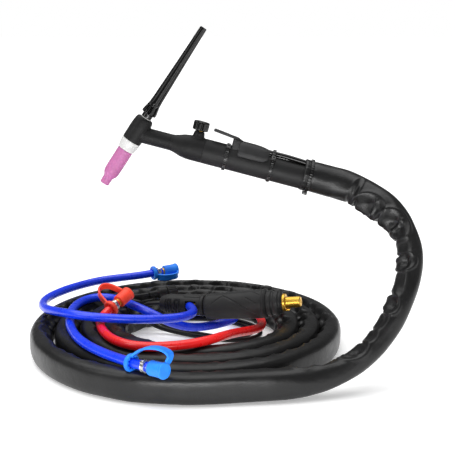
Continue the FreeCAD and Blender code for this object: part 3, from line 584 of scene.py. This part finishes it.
# ---------------------------------------------------------------- the sheathed lead
# Each buckle on the riser: where it starts along the sheath, its length, its depth, how far round it reaches
# in radians, and how much it leans
RISER_BUCKLES = [
    (59, 11, 0.45, 2.3, 0.0), (70, 38, 1.05, 1.75, 0.5), (107, 37, 1.3, 2.2, 0.35),
    (144, 21, 0.3, 1.9, 0.0), (165, 20, 1.15, 2.1, -0.15), (185, 27, 0.28, 1.9, 0.1),
    (212, 22, 1.05, 1.8, 0.2), (234, 24, 0.3, 1.5, 0.0), (258, 20, 0.35, 1.6, -0.2),
    (278, 36, 0.85, 1.9, -0.5), (314, 30, 0.45, 1.6, 0.3), (344, 28, 0.7, 1.7, -0.3),
]
COIL_FROM = 372.0       # where the riser's buckles end and the coil's begin
BUCKLE_SEED = 11
SHEATH_RADIUS = 17.3
SHEATH_SIDES = 58
# What a buckle of depth 1 adds to the sheath's radius: its middle, the rim round that, a fold across it,
# the puffed skin between two buckles, and the pinch where it starts
HOLLOW = -6.4
RIM = 1.5
FOLD = 2.6
SWELL = 3.6
PINCH = -2.4
BUCKLE_REACH = 14       # how far past its ends a leaning buckle still acts


def buckles(total):
    """The riser's buckles, then random ones along the coil."""
    rng = random.Random(BUCKLE_SEED)
    made = list(RISER_BUCKLES)
    start = COIL_FROM
    while start < total - 12:
        length = rng.uniform(14, 36)
        made.append((start, length, rng.uniform(0.5, 1.3), rng.uniform(0.95, 1.4), rng.uniform(-0.6, 0.6)))
        start += length
    return made


def buckle_change(distance, away, item):
    """How far one buckle moves the skin, at an angle away from the middle of the sheath's inner side."""
    start, length, depth, far, lean = item
    reach = abs(away)
    turned = 1 if away > 0 else -1
    share = (distance - start - lean * 8 * (reach - 0.5)) / length
    form = math.hypot((share - 0.5) * 2, (reach - far * 0.46) / (far * 0.54))
    hollow = HOLLOW * depth * (1 - ease(form, 0.15, 1.0))
    rim = RIM * depth * near(form, 1.08, 0.15)
    fold = FOLD * depth * near((share - 0.6) * length + 6 * (reach - 1) * turned, 0, 2.1)
    fold *= (1 - ease(form, 0.55, 0.95)) * ease(length * depth, 18, 40)
    swell = 0.0
    if 0 < share < 1:
        swell = (math.sin(math.pi * share) ** 0.6 - 0.45) * SWELL * near(reach, 0, 0.47 * far)
        swell *= 0.3 + 0.7 * depth
    pinch = PINCH * (0.4 + 0.6 * depth) * near(distance - start, 0, 1.9)
    pinch *= 1 - ease(reach, 0.2 * far, 0.8 * far)
    return swell + hollow + rim + fold + pinch


def make_lead():
    points = smooth_line(lead_route(), 24)
    total = line_length(points) / MM
    items = buckles(total)
    coil_middle = Vector((*COIL_CENTRE, 17)) * MM
    arch_middle = Vector((150, -92, 112)) * MM
    ring = {}       # the buckles at the ring being made, and their strength there

    def side_at(place, distance):
        """The ring's inner side: towards the arch's middle at first, and then towards the coil's."""
        ring["strength"] = 1.0 if distance < COIL_FROM else 0.28 + 0.72 * ease(place.y / MM, -110, 20)
        ring["buckles"] = [
            item for item in items if item[0] - BUCKLE_REACH <= distance < item[0] + item[1] + BUCKLE_REACH
        ]
        flat = Vector((coil_middle.x, coil_middle.y, place.z))
        toward = (arch_middle - place).normalized()
        return toward.lerp((flat - place).normalized(), ease(distance, 250, 370))

    def section(distance, angle):
        """Angle 0 is the inside of the bend. A quarter turn on is the coil's top, and the riser's front."""
        coiled = ease(distance, 320, 425)
        c, s = math.cos(angle), math.sin(angle)
        # Round on the riser, and squarer on the coil, where the turns press on each other and on the floor
        power = 2.0 + coiled * (0.5 - 0.75 * c - 0.25 * max(0.0, math.cos(angle - 0.9)))
        size = (abs(c) ** power + abs(s) ** power) ** (-1 / power)
        side = (SHEATH_RADIUS - 4.2 * coiled) * c * size
        up = (SHEATH_RADIUS - 0.5 * coiled) * s * size
        away = (angle - 0.38 * coiled + math.pi) % (2 * math.pi) - math.pi
        change = sum(buckle_change(distance, away, item) for item in ring["buckles"])
        inner = max(0.0, math.cos(away))
        at = Vector((distance / 38.0, c * 1.2, s * 1.2 + 4.0))
        broad = noise.noise(at) * (1.1 + 0.9 * inner) * (1 - 0.6 * coiled)
        at = Vector((distance / 11.0, c * 2.4, s * 2.4 - 7.0))
        fine = noise.noise(at) * (0.18 + 0.3 * inner) * (1 - 0.5 * coiled)
        # The mouth is gathered under the rear cable tie
        begun = ease(distance, 16, 58)
        gathers = 0.55 * near(distance, 3.0, 7.0) * math.sin(angle * 17 + 1.3 * math.sin(angle * 3))
        tied = -0.75 * near(distance, 7.6, 3.2)
        grown = 1 + ((broad + fine + change * ring["strength"]) * begun + gathers + tied) / SHEATH_RADIUS
        side, up = side * grown, up * grown
        # The riser's bend is pulled tight: thinner from inside to outside, and from front to back
        pulled = ease(distance, 88, 150) * (1 - ease(distance, 300, 400))
        side -= pulled * (6.5 * ease(c, -0.9, 0.9) - 2.6 * ease(-c, -0.6, 0.9))
        up *= 1 - 0.16 * pulled
        if coiled > 0:
            up = max(up, -17.1 - 3 * (1 - coiled))      # stays above the floor
        return side, up

    lead = tube_mesh("sheathed_lead", points, section, SHEATH_SIDES, side_at)
    settle(lead, ROOT, "sheath_leather", ("sheath_riser", "sheath_coil"))


make_lead()


# ---------------------------------------------------------------- torch head
def flutes(angle, count, width, phase=0.0):
    """1 at the middle of each of some flutes round a circle, and 0 outside its width in radians."""
    step = 2 * math.pi / count
    away = abs((angle - phase + step / 2) % step - step / 2)
    return math.sqrt(max(0.0, 1 - (away / width) ** 2))


def make_head():
    barrel = lathe("barrel", HEAD, [
        (0, -9.8), (11, -9.8), (11, 8), (10.5, 14.5), (9.9, 18), (8.4, 19.9), (0, 19.9),
    ], 1.0, 96)
    neck = lathe("neck", HANDLE, [
        (0, 0), (8.6, 0), (9.1, 8), (9.1, 40), (9.4, 42.5), (10.6, 47), (12.6, 53), (13.6, 59), (13.9, 65),
        (13.9, 76.6), (13.3, 77.0), (13.3, 80), (0, 80),
    ], 1.2, 96)
    boss = lathe("boss", VALVE, [
        (0, 6), (7.4, 6), (7.0, 13.4), (6.3, 16), (6.2, 17.8), (5.0, 20.5), (0, 20.7),
    ], 0.6, 96)
    rib = lathe("rib", HANDLE, [(0, 9), (9.0, 9), (9.7, 11.5), (9.7, 38), (9.0, 40), (0, 40)], 0.8, 96,
                lambda radius, height, angle: -1.2 * (1 - near(abs(math.sin(angle)), 1, 0.5)))
    cover = joined("head_rubber_cover", [barrel, neck, boss, rib])
    applied(
        cover, ("REMESH", {"mode": "VOXEL", "voxel_size": 0.00042}),
        ("SMOOTH", {"factor": 0.5, "iterations": 9}),
    )
    for polygon in cover.data.polygons:
        polygon.use_smooth = True
    settle(cover, ROOT, "head_rubber", "torch_head_cover")

    washer = lathe("top_washer", HEAD, [
        (5.05, 19.4), (6.1, 19.4), (6.1, 20.9), (5.05, 20.9),
    ], 0.25, 64, None, True)
    settle(washer, ROOT, "grey_washer", "head_top_washer")
    insulator = lathe("insulator_ring", HEAD, [
        (6.3, -9.8), (10.9, -9.8), (11.0, -11.2), (10.7, -15.5), (9.5, -21.4), (9.0, -21.9), (6.3, -21.9),
    ], 0.5, 96, None, True)
    settle(insulator, ROOT, "white_insulator", "nozzle_insulator")
    nozzle = lathe("nozzle_cup", HEAD, [
        (6.3, -22.0), (8.6, -22.0), (8.8, -23), (8.75, -46), (8.6, -51.5), (8.0, -54.4), (6.2, -57.2),
        (5.35, -59.2), (5.25, -66.6), (5.0, -67.3), (4.2, -67.3), (4.0, -66.6), (4.0, -58.8), (6.8, -51.4),
        (6.8, -32), (6.3, -32),
    ], 0.9, 96, None, True)
    settle(nozzle, "nozzle", "pink_ceramic", "ceramic_nozzle")


def cap_wave(radius, height, angle):
    """Deep petals round the bell, and long grooves all the way up the shaft."""
    if radius < 3 or height < 25:
        return 0.0
    petal = ease(height, 25.8, 27.0) * (1 - ease(height, 35, 40))
    shaft = ease(height, 36, 41)
    return -2.9 * petal * flutes(angle, 8, 0.22) - radius * 0.2 * shaft * flutes(angle, 6, 0.4, 0.3)


def make_back_cap():
    cap = lathe("back_cap_skin", HEAD, [
        (1.4, 9.5), (4.1, 9.5), (4.1, 20.95), (6.0, 21.0), (6.0, 25.4), (8.3, 25.7), (8.75, 26.6),
        (8.5, 29.5), (7.4, 34.5), (6.5, 39.5), (6.1, 46), (4.9, 92), (3.95, 136.6), (3.5, 137.5),
        (1.4, 137.5), (0, 136.2),
    ], 0.5, 128, cap_wave, False, 2.2)
    settle(cap, "back_cap", "black_plastic", "long_back_cap", "gloss_black")


def make_valve():
    def fluted(radius, height, angle):
        return -2.1 * flutes(angle, 9, 0.17) if radius > 6.5 else 0.0

    knob = lathe("valve_knob_skin", VALVE, [
        (1.9, 20.9), (5.2, 20.9), (8.2, 21.2), (9.0, 22.2), (9.0, 30.2), (8.2, 31.2), (4.6, 31.4),
        (4.2, 30.6), (3.15, 30.5), (3.15, 29.9), (1.9, 29.9),
    ], 0.45, 144, fluted, True, 1.0)
    settle(knob, "valve_stem", "black_plastic", "valve_knob", "gloss_black")


# ---------------------------------------------------------------- handle and switch
def make_handle():
    shell = lathe("handle_grip", HANDLE, [
        (11.5, 76.7), (13.5, 76.7), (13.9, 77.3), (13.9, 214.5), (13.4, 215), (11.5, 215),
    ], 0.4, 128, None, True)
    settle(shell, ROOT, "black_plastic", "handle_shell", "handle_plastic")
    lead = smooth_line([tuple((HANDLE @ (Vector(point) * MM)) / MM) for point in (
        (17.0, 0.6, 146.5), (17.0, 1.0, 156), (17.3, 1.8, 166), (17.0, 2.2, 178), (16.4, 2.2, 190),
        (15.6, 2.0, 202),
    )], 10)
    lead_radius = 2.9
    piece = tube_mesh(
        "switch_lead_skin", lead,
        lambda distance, angle: (lead_radius * math.cos(angle), lead_radius * math.sin(angle)), 24,
    )
    settle(piece, ROOT, "cable_jacket", "switch_lead", "gloss_black")


def housing_ring(height, top, half, foot):
    """The switch housing's outline at a height, from its top, half its width and its foot."""
    corners = [
        (foot, -half), (11.5, -half), (18.3, -half + 4.4), (top, -7.3),
        (top, 7.3), (18.3, half - 4.4), (11.5, half), (foot, half),
    ]
    if top < 18.9:
        corners = [(x, y) if abs(y) != half - 4.4 else (min(x, top - 0.6), y) for x, y in corners]
    return [(x, y, height) for x, y in rounded(corners, 1.5, True)]


def make_switch():
    rings = [housing_ring(*values) for values in (
        (114.5, 20.4, 13.9, 6.8), (114.8, 21.0, 14.6, 6.0), (115.6, 21.3, 14.9, 5.5), (132, 21.3, 14.9, 5.5),
        (139, 20.9, 14.9, 5.6), (144, 20.1, 14.7, 6.3), (147, 19.4, 14.1, 7.8), (148.6, 18.9, 13.2, 9.6),
        (149, 18.4, 12.4, 10.8),
    )]
    main = loft("main", HANDLE, rings)
    block = box_at("block", HANDLE, (8, -8, 106.5), (21.5, 8, 116), 0, 0.9)
    slots = [
        box_at("slot", HANDLE, (19.2, -4.3, 105), (24, 4.3, 114.6)),
        box_at("slot", HANDLE, (18.0, -4.3, 112.9), (24, 4.3, 119.3)),
        box_at("slot", HANDLE, (13.0, -6.2, 107.0), (19.3, 6.2, 113.0)),
    ]
    cut_away(main, box_at("slot", HANDLE, (18.0, -4.3, 112.9), (24, 4.3, 119.3)))
    cut_away(block, *slots)
    housing = joined("switch_case", [main, block])
    shade_by_angle(housing, 32)
    settle(housing, ROOT, "black_plastic", "switch_housing", "switch_plastic")

    top_line = []
    for step in range(13):      # the finger ridges
        share = step * 1.25 / 27.2
        x, z = 27.1 - 2.9 * share, 84.5 + 27 * share
        top_line += [(x, z), (x + 0.45, z + 0.35), (x + 0.45, z + 0.75), (x - 0.05, z + 0.95)]
    strip = [(24.5, 83.2), (24.9, 82.9), (26.9, 82.9), (27.2, 83.4)] + top_line + [
        (24.2, 111.5), (21.4, 118), (20.0, 118.6), (18.4, 116.2), (21.5, 111.8),
    ]
    bar = prism("bar", HANDLE, strip, -4, 4, 0, "y", 0.18)
    hub = prism("hub", HANDLE, [
        (20 + 1.9 * math.cos(0.4 * k), 117 + 1.9 * math.sin(0.4 * k)) for k in range(15)
    ], -4, 4, 0, "y", 0.1)
    lever = shade_by_angle(joined("lever_bar", [bar, hub]), 30)
    settle(lever, "trigger", "black_plastic", "switch_lever", "switch_plastic")


# ---------------------------------------------------------------- cable ties
def hull_radius(angle, radius, small, distance):
    """The distance from the axis to a band pulled round a circle and a smaller one above it."""
    away = abs((angle + math.pi) % (2 * math.pi) - math.pi)
    lean = math.acos((radius - small) / distance)
    meets = math.atan2(small * math.sin(lean), distance + small * math.cos(lean))
    if away >= lean:
        return radius
    if away >= meets:
        return radius / math.cos(lean - away)
    return distance * math.cos(away) + math.sqrt(small ** 2 - (distance * math.sin(away)) ** 2)


def make_tie(name, place, inside, low, head_turn, tail, second=None):
    """A toothed band with its head and cut tail. A second circle is (radius, distance)."""
    def wave(radius, height, angle):
        base = hull_radius(angle, inside, second[0], second[1]) - inside if second else 0.0
        teeth = 0.28 * max(0.0, math.sin(angle * 44)) if radius > inside + 1.0 else 0.0
        return base + teeth

    thick, wide, sunk = 1.25, 3.6, 0.7
    band = lathe("band", place, [
        (inside, low), (inside + thick, low), (inside + thick, low + wide), (inside, low + wide),
    ], 0.3, 264, wave, True)
    out = inside + sunk
    if second:
        out = hull_radius(math.radians(head_turn), inside, *second) + sunk
    head = box_at("head", place, (out, -3.0, low - 0.9), (out + 3.7, 3.0, low + 4.5), head_turn, 0.6)
    window = box_at("window", place, (out + 2.9, -1.4, low + 0.5), (out + 4.4, 1.7, low + 3.1), head_turn)
    cut_away(head, window)
    end = box_at(
        "end", place, (out + 0.9, 2.5, low + 0.3), (out + 2.0, 3.2 + tail, low + 3.3), head_turn, 0.25,
    )
    tie = shade_by_angle(joined(name + "_skin", [band, head, end]), 30)
    settle(tie, ROOT, "cable_tie", name)


def make_ties():
    make_tie("front_cable_tie", HANDLE, 14.0, 101.2, 39.0, -0.5)
    make_tie("middle_cable_tie", HANDLE, 14.0, 152.7, 41.0, 0.6, (3.1, 17.0))
    raised = HANDLE @ Matrix.Translation(Vector((3.0, 0, 0)) * MM)
    make_tie("rear_cable_tie", raised, 17.35, 197.2, 180.0, 1.6)


# ---------------------------------------------------------------- plug
def groove(height, angle, start, stop, width):
    """1 on a line drawn round the sleeve from (height, degrees) to (height, degrees)."""
    low, high = min(start[0], stop[0]), max(start[0], stop[0])
    if not low <= height <= high:
        return 0.0
    share = (height - start[0]) / (stop[0] - start[0])
    middle = math.radians(start[1] + (stop[1] - start[1]) * share)
    away = min(abs(angle - middle), abs(2 * math.pi - angle - middle)) * 16.5
    return near(away, 0, width)


def sleeve_wave(radius, height, angle):
    """The plug sleeve's moulded lines and dashes, its lip and its flatter sides."""
    if radius < 12:
        return 0.0
    line = groove(height, angle, (25, 29), (66, 116), 0.8)
    curve = groove(height, angle, (6, 78), (25, 29), 0.8)
    dashes = groove(height, angle, (54, 47), (67, 73), 0.7) + groove(height, angle, (61, 14), (71, 40), 0.7)
    lip = 0.75 * near(height, 74.6, 1.0) - 0.5 * near(height, 72.2, 0.8)
    flat = -0.7 * ease(abs(math.cos(angle)), 0.93, 1.0) * (1 - ease(height, 60, 70))
    return lip + flat - 0.85 * (line + curve) - 0.9 * dashes


def rear_wave(radius, height, angle):
    """The rear sleeve's crossing grooves on its two sides, and the raised panel on top."""
    if radius < 9.5:
        return 0.0
    change = 0.0
    side = min(abs(angle - math.pi / 2), abs(angle - 3 * math.pi / 2))
    window = 1 - ease(side, 0.62, 0.86)
    for place, slant in ((-48.5, 0.6), (-45, 1.0), (-41.4, 2.6), (-37.4, -3.0), (-34.6, -1.0), (-31.4, 0.0)):
        change -= 1.7 * window * near(height - slant * math.sin(2 * (angle - math.pi / 2)) * 0.5, place, 0.95)
    top = (1 - ease(abs((angle + math.pi) % (2 * math.pi) - math.pi), 0.42, 0.54))
    change += 0.8 * top * ease(height, -27, -25.4) * (1 - ease(height, -5.2, -4.0))
    return change


def make_plug():
    sleeve = lathe("plug_grip", PLUG, [
        (8, 0.2), (13.4, 0.2), (14.9, 1.6), (15.6, 5), (16.6, 28), (17.4, 56), (17.4, 76.2), (16.2, 78),
        (8, 78),
    ], 1.4, 220, sleeve_wave, True, 0.85)
    settle(sleeve, ROOT, "plug_rubber", "plug_sleeve")
    collar = lathe("plug_nose", PLUG, [
        (8, 78), (15.6, 78), (15.7, 83), (14.4, 84.2), (14.3, 86.0), (15.0, 87), (15.0, 91.5), (13.4, 92.6),
        (13.2, 94.4), (11.6, 96.4), (8, 96.4),
    ], 0.6, 96, None, True)
    settle(collar, ROOT, "plug_rubber", "plug_collar")
    pin = lathe("pin", PLUG, [
        (0, 60), (7.9, 60), (7.9, 96.3), (10.2, 96.4), (10.5, 97), (10.5, 99.4), (10.0, 100), (7.1, 100.1),
        (6.5, 101), (6.5, 113.6), (6.35, 114.2), (6.5, 114.8), (6.5, 117.0), (5.6, 118), (2.3, 118),
        (2.0, 117.2), (0, 117.0),
    ], 0.35, 96)
    nub = box_at("nub", PLUG, (-10.0, -1.9, 99.2), (-7.95, 1.9, 103.9), 0, 0.5)
    settle(joined("plug_contact", [pin, nub]), ROOT, "brass", "plug_pin")
    rear = lathe("plug_tail", PLUG_REAR, [
        (8, -1.5), (12.7, -1.5), (13.3, -2.4), (13.3, -5.4), (12.5, -6.6), (12.3, -46), (11.0, -51),
        (8.7, -57), (7.6, -58), (2.9, -58), (2.9, -54), (8, -54),
    ], 0.8, 180, rear_wave, True, 0.9)
    cut_away(rear, box_at("window", PLUG_REAR, (-6.4, 6.5, -23.6), (6.4, 17, -10.2), -5))
    shade_by_angle(rear, 50)
    settle(rear, ROOT, "plug_rubber", "plug_rear_sleeve")


# ---------------------------------------------------------------- hoses, cables and their ends
def hose(name, route, radius, slot):
    points = smooth_line(route, 14)
    apart = len(name)       # gives each length of name its own noise

    def section(distance, angle):
        uneven = 0.09 * noise.noise(Vector((distance / 26.0, apart, math.cos(angle))))
        return (radius + uneven) * math.cos(angle), (radius + uneven) * math.sin(angle)

    piece = tube_mesh(name + "_skin", points, section, 32)
    settle(piece, ROOT, slot, name)
    return piece, points


def strap_section(distance, angle):
    """A flat strap with raised edges."""
    half_width, half_thickness, edge = 4.7, 0.95, 0.45
    c, s = math.cos(angle), math.sin(angle)
    size = (abs(c) ** 5 + abs(s) ** 5) ** -0.2
    wide = half_width * c * size
    raised = edge * ease(abs(wide), 3.2, 3.9)
    return wide, (half_thickness + raised) * s * size


# The cap ring's place on each hose, then its strap as (up, sideways, along) in the hose end's frame
ENDS = {
    "gas": (GAS_HOSE, -12.5, [
        (-4.5, 6.6, -10), (-5.4, 9.5, -5.5), (-5.8, 12.6, 2.5), (-5.8, 13.6, 11), (-4.8, 13.2, 18),
        (-3.4, 7.9, 20.2),
    ]),
    "water_in": (WATER_IN_HOSE, -26.0, [
        (7.8, -1, -23.5), (12.5, -1.8, -18), (18, -3, -8), (20.5, -4, 3.5), (20.5, -5.5, 14), (17, -8, 21.5),
        (11.5, -9.5, 21.8), (6.5, -5.6, 20.2),
    ]),
    "water_out": (WATER_OUT_HOSE, -11.0, [
        (0.5, -8, -8.5), (2, -13, -6), (6, -23, -3), (9, -31, 2), (11.5, -31, 9.5), (10.5, -24.5, 15),
        (6, -17, 18), (2.8, -12, 19.3), (1.8, -8.4, 19.3),
    ]),
}


def end_frame(route):
    return frame_at(route[-1], (0, 0, 1), Vector(route[-1]) - Vector(route[-2]))


def ring_wave(radius, height, angle):
    """Teeth on the ring's inside that grip the hose."""
    return 1.25 * (1 - flutes(angle, 9, 0.2)) if radius < 6.2 else 0.0


def make_end(name, slot):
    """The cap, strap, ring and clamp on a hose's end, as a list of pieces."""
    route, ring_place, strap_points = ENDS[name]
    place = end_frame(route)
    body = name + "_hose_cap"
    cap = lathe(name + "_cap_skin", place, [
        (0, 16.3), (4.05, 16.3), (4.05, 2.5), (7.2, 2.5), (7.9, 3.2), (7.8, 10), (8.0, 18.6), (8.5, 19.4),
        (8.6, 21.4), (7.9, 22.5), (0, 22.7),
    ], 0.45, 96)
    settle(cap, body, slot, name + "_cap")
    ring = lathe(name + "_cap_ring_skin", place, [
        (5.3, ring_place - 2.4), (8.9, ring_place - 2.5), (9.6, ring_place - 1.5), (9.6, ring_place + 1.5),
        (8.9, ring_place + 2.5), (5.3, ring_place + 2.4),
    ], 0.7, 144, ring_wave, True)
    clamp = lathe("clamp", place, [(5.3, -8), (6.25, -8), (6.25, -3), (5.3, -3)], 0.25, 96, None, True)
    bumps = [
        lathe("lip", place, [
            (6.1, low), (6.6, low), (6.6, low + 0.8), (6.1, low + 0.8),
        ], 0.2, 96, None, True) for low in (-8, -3.8)
    ]
    ear = prism("ear", place @ Matrix.Rotation(0.6, 4, "Z"), [
        (5.8, -2.6), (8.0, -1.7), (8.3, 0), (8.0, 1.7), (5.8, 2.6),
    ], -7.6, -3.4, 0.5, "z", 0.3)
    band = shade_by_angle(joined(name + "_clamp_skin", [clamp, ear] + bumps), 40)
    corners = [tuple((place @ (Vector(corner) * MM)) / MM) for corner in strap_points]
    line = smooth_line(corners, 16)
    middle = (line[0] + line[-1]) / 2
    normal = (line[len(line) // 2] - middle).cross(line[-1] - line[0]).normalized()
    strap = tube_mesh(name + "_strap", line, strap_section, 32, lambda spot, distance: normal)
    dress(strap, slot)
    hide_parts(name + "_cap_tether")
    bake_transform(strap)
    return cap, ring, band, strap


END_PIECES = {}
for end_name, end_slot in (("gas", "blue_cap"), ("water_in", "blue_cap"), ("water_out", "red_cap")):
    END_PIECES[end_name] = make_end(end_name, end_slot)
for end_name in END_PIECES:
    _, ring, band, _ = END_PIECES[end_name]
    red = end_name == "water_out"
    dress(ring, "red_cap" if red else "blue_cap")
    dress(band, "steel")
    if end_name == "gas":
        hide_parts("blue_cap_rings")
        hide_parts("hose_clamps")
    if red:
        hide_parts("water_out_cap_ring")
    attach(ring, ROOT)
    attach(band, ROOT)


def make_control_plug():
    place = end_frame(CONTROL_CABLE)

    def ribs(radius, height, angle):
        return -0.35 * max(0.0, math.sin(height * 2.4)) if 3 < radius < 4.6 and 1 < height < 10 else 0.0

    shell = lathe("control_plug_shell", place, [
        (0, 0), (3.2, 0), (4.0, 10), (6.6, 13), (6.8, 14), (6.8, 23.6), (5.2, 24), (5.2, 39), (4.4, 39),
        (4.2, 34), (0, 34),
    ], 0.4, 96, ribs, False, 0.6)
    settle(shell, ROOT, "black_plastic", "control_plug")
    nut = lathe("control_plug_nut", place, [
        (5.35, 24.3), (7.4, 24.3), (7.8, 25), (7.8, 36.2), (7.3, 36.9), (5.35, 36.9),
    ], 0.3, 144, lambda radius, height, angle: -0.55 * flutes(angle, 18, 0.09) if radius > 7 else 0.0, True)
    settle(nut, "control_ring", "black_plastic", "control_plug_ring")
    return [shell, nut]


CONTROL_PLUG = make_control_plug()
for cord_name, cord_route, cord_radius, cord_slot in (
    ("gas_hose", GAS_HOSE, 5.2, "blue_hose"),
    ("water_in_hose", WATER_IN_HOSE, 5.2, "blue_hose"),
    ("water_out_hose", WATER_OUT_HOSE, 5.2, "red_hose"),
    ("power_cable", POWER_CABLE, 2.8, "cable_jacket"),
    ("control_cable", CONTROL_CABLE, 2.3, "cable_jacket"),
):
    cord, cord_points = hose(cord_name, cord_route, cord_radius, cord_slot)

make_head()
make_back_cap()
make_valve()
make_handle()
make_switch()
make_ties()
make_plug()


# ---------------------------------------------------------------- floor, light and camera
def make_stage():
    reach = 30      # metres to each edge
    corners = [(-reach, -reach, 0), (reach, -reach, 0), (reach, reach, 0), (-reach, reach, 0)]
    floor = mesh_piece("floor", corners, [(0, 1, 2, 3)], False)
    material, tree, shader = new_material("pale_floor", (0.93, 0.93, 0.93), 0.9)
    dust = noise_of(tree, 3.0, 4.0)
    pale = ramp_of(tree, dust, (0.93, 0.93, 0.93), (0.945, 0.945, 0.945))
    tree.links.new(pale, shader.inputs["Base Color"])
    shader.inputs["Specular IOR Level"].default_value = 0.0
    shader.inputs["Emission Color"].default_value = (1, 1, 1, 1)
    shader.inputs["Emission Strength"].default_value = 0.3
    floor.data.materials.append(material)

    # The world is white where it is seen, dimmer as light, and dimmer still in reflections
    world = bpy.data.worlds.new("studio")
    world.use_nodes = True
    tree = world.node_tree
    tree.nodes["Background"].inputs["Color"].default_value = (1, 1, 1, 1)
    seen = node(tree, "ShaderNodeLightPath")
    mirrored = node(tree, "ShaderNodeMapRange")
    mirrored.inputs["To Min"].default_value = 0.42
    mirrored.inputs["To Max"].default_value = 0.16
    tree.links.new(seen.outputs["Is Glossy Ray"], mirrored.inputs["Value"])
    strength = node(tree, "ShaderNodeMapRange")
    tree.links.new(mirrored.outputs["Result"], strength.inputs["To Min"])
    strength.inputs["To Max"].default_value = 1.0
    tree.links.new(seen.outputs["Is Camera Ray"], strength.inputs["Value"])
    tree.links.new(strength.outputs["Result"], tree.nodes["Background"].inputs["Strength"])
    bpy.context.scene.world = world
    bpy.context.scene.view_settings.view_transform = "Standard"

    def area(name, place, aim, size, energy):
        lamp = bpy.data.lights.new(name, "AREA")
        lamp.shape = "RECTANGLE"
        lamp.size, lamp.size_y = size
        lamp.energy = energy
        holder = bpy.data.objects.new(name, lamp)
        bpy.context.scene.collection.objects.link(holder)
        holder.location = place
        holder.rotation_euler = (Vector(aim) - Vector(place)).to_track_quat("-Z", "Y").to_euler()

    area("left_softbox", (-1.2, -0.7, 1.0), (0, 0, 0.15), (0.5, 0.8), 4.5)
    area("low_softbox", (-0.06, -0.66, 0.05), (-0.04, -0.2, 0.03), (0.5, 0.08), 1.9)
    area("right_softbox", (1.3, -0.4, 0.9), (0, 0, 0.15), (0.3, 0.8), 0.4)
    overhead = bpy.data.lights.new("overhead", "SUN")
    overhead.energy = 2.3
    overhead.angle = math.radians(70)
    holder = bpy.data.objects.new("overhead", overhead)
    bpy.context.scene.collection.objects.link(holder)
    holder.rotation_euler = (math.radians(-8), math.radians(-6), 0)


def make_camera():
    lens = bpy.data.cameras.new("camera")
    lens.lens = 75.16
    lens.sensor_width = 36
    holder = bpy.data.objects.new("camera", lens)
    bpy.context.scene.collection.objects.link(holder)
    holder.location = (0.039, -1.098, 0.378)
    holder.rotation_euler = (math.radians(78), 0, 0)
    bpy.context.scene.camera = holder


make_stage()
make_camera()
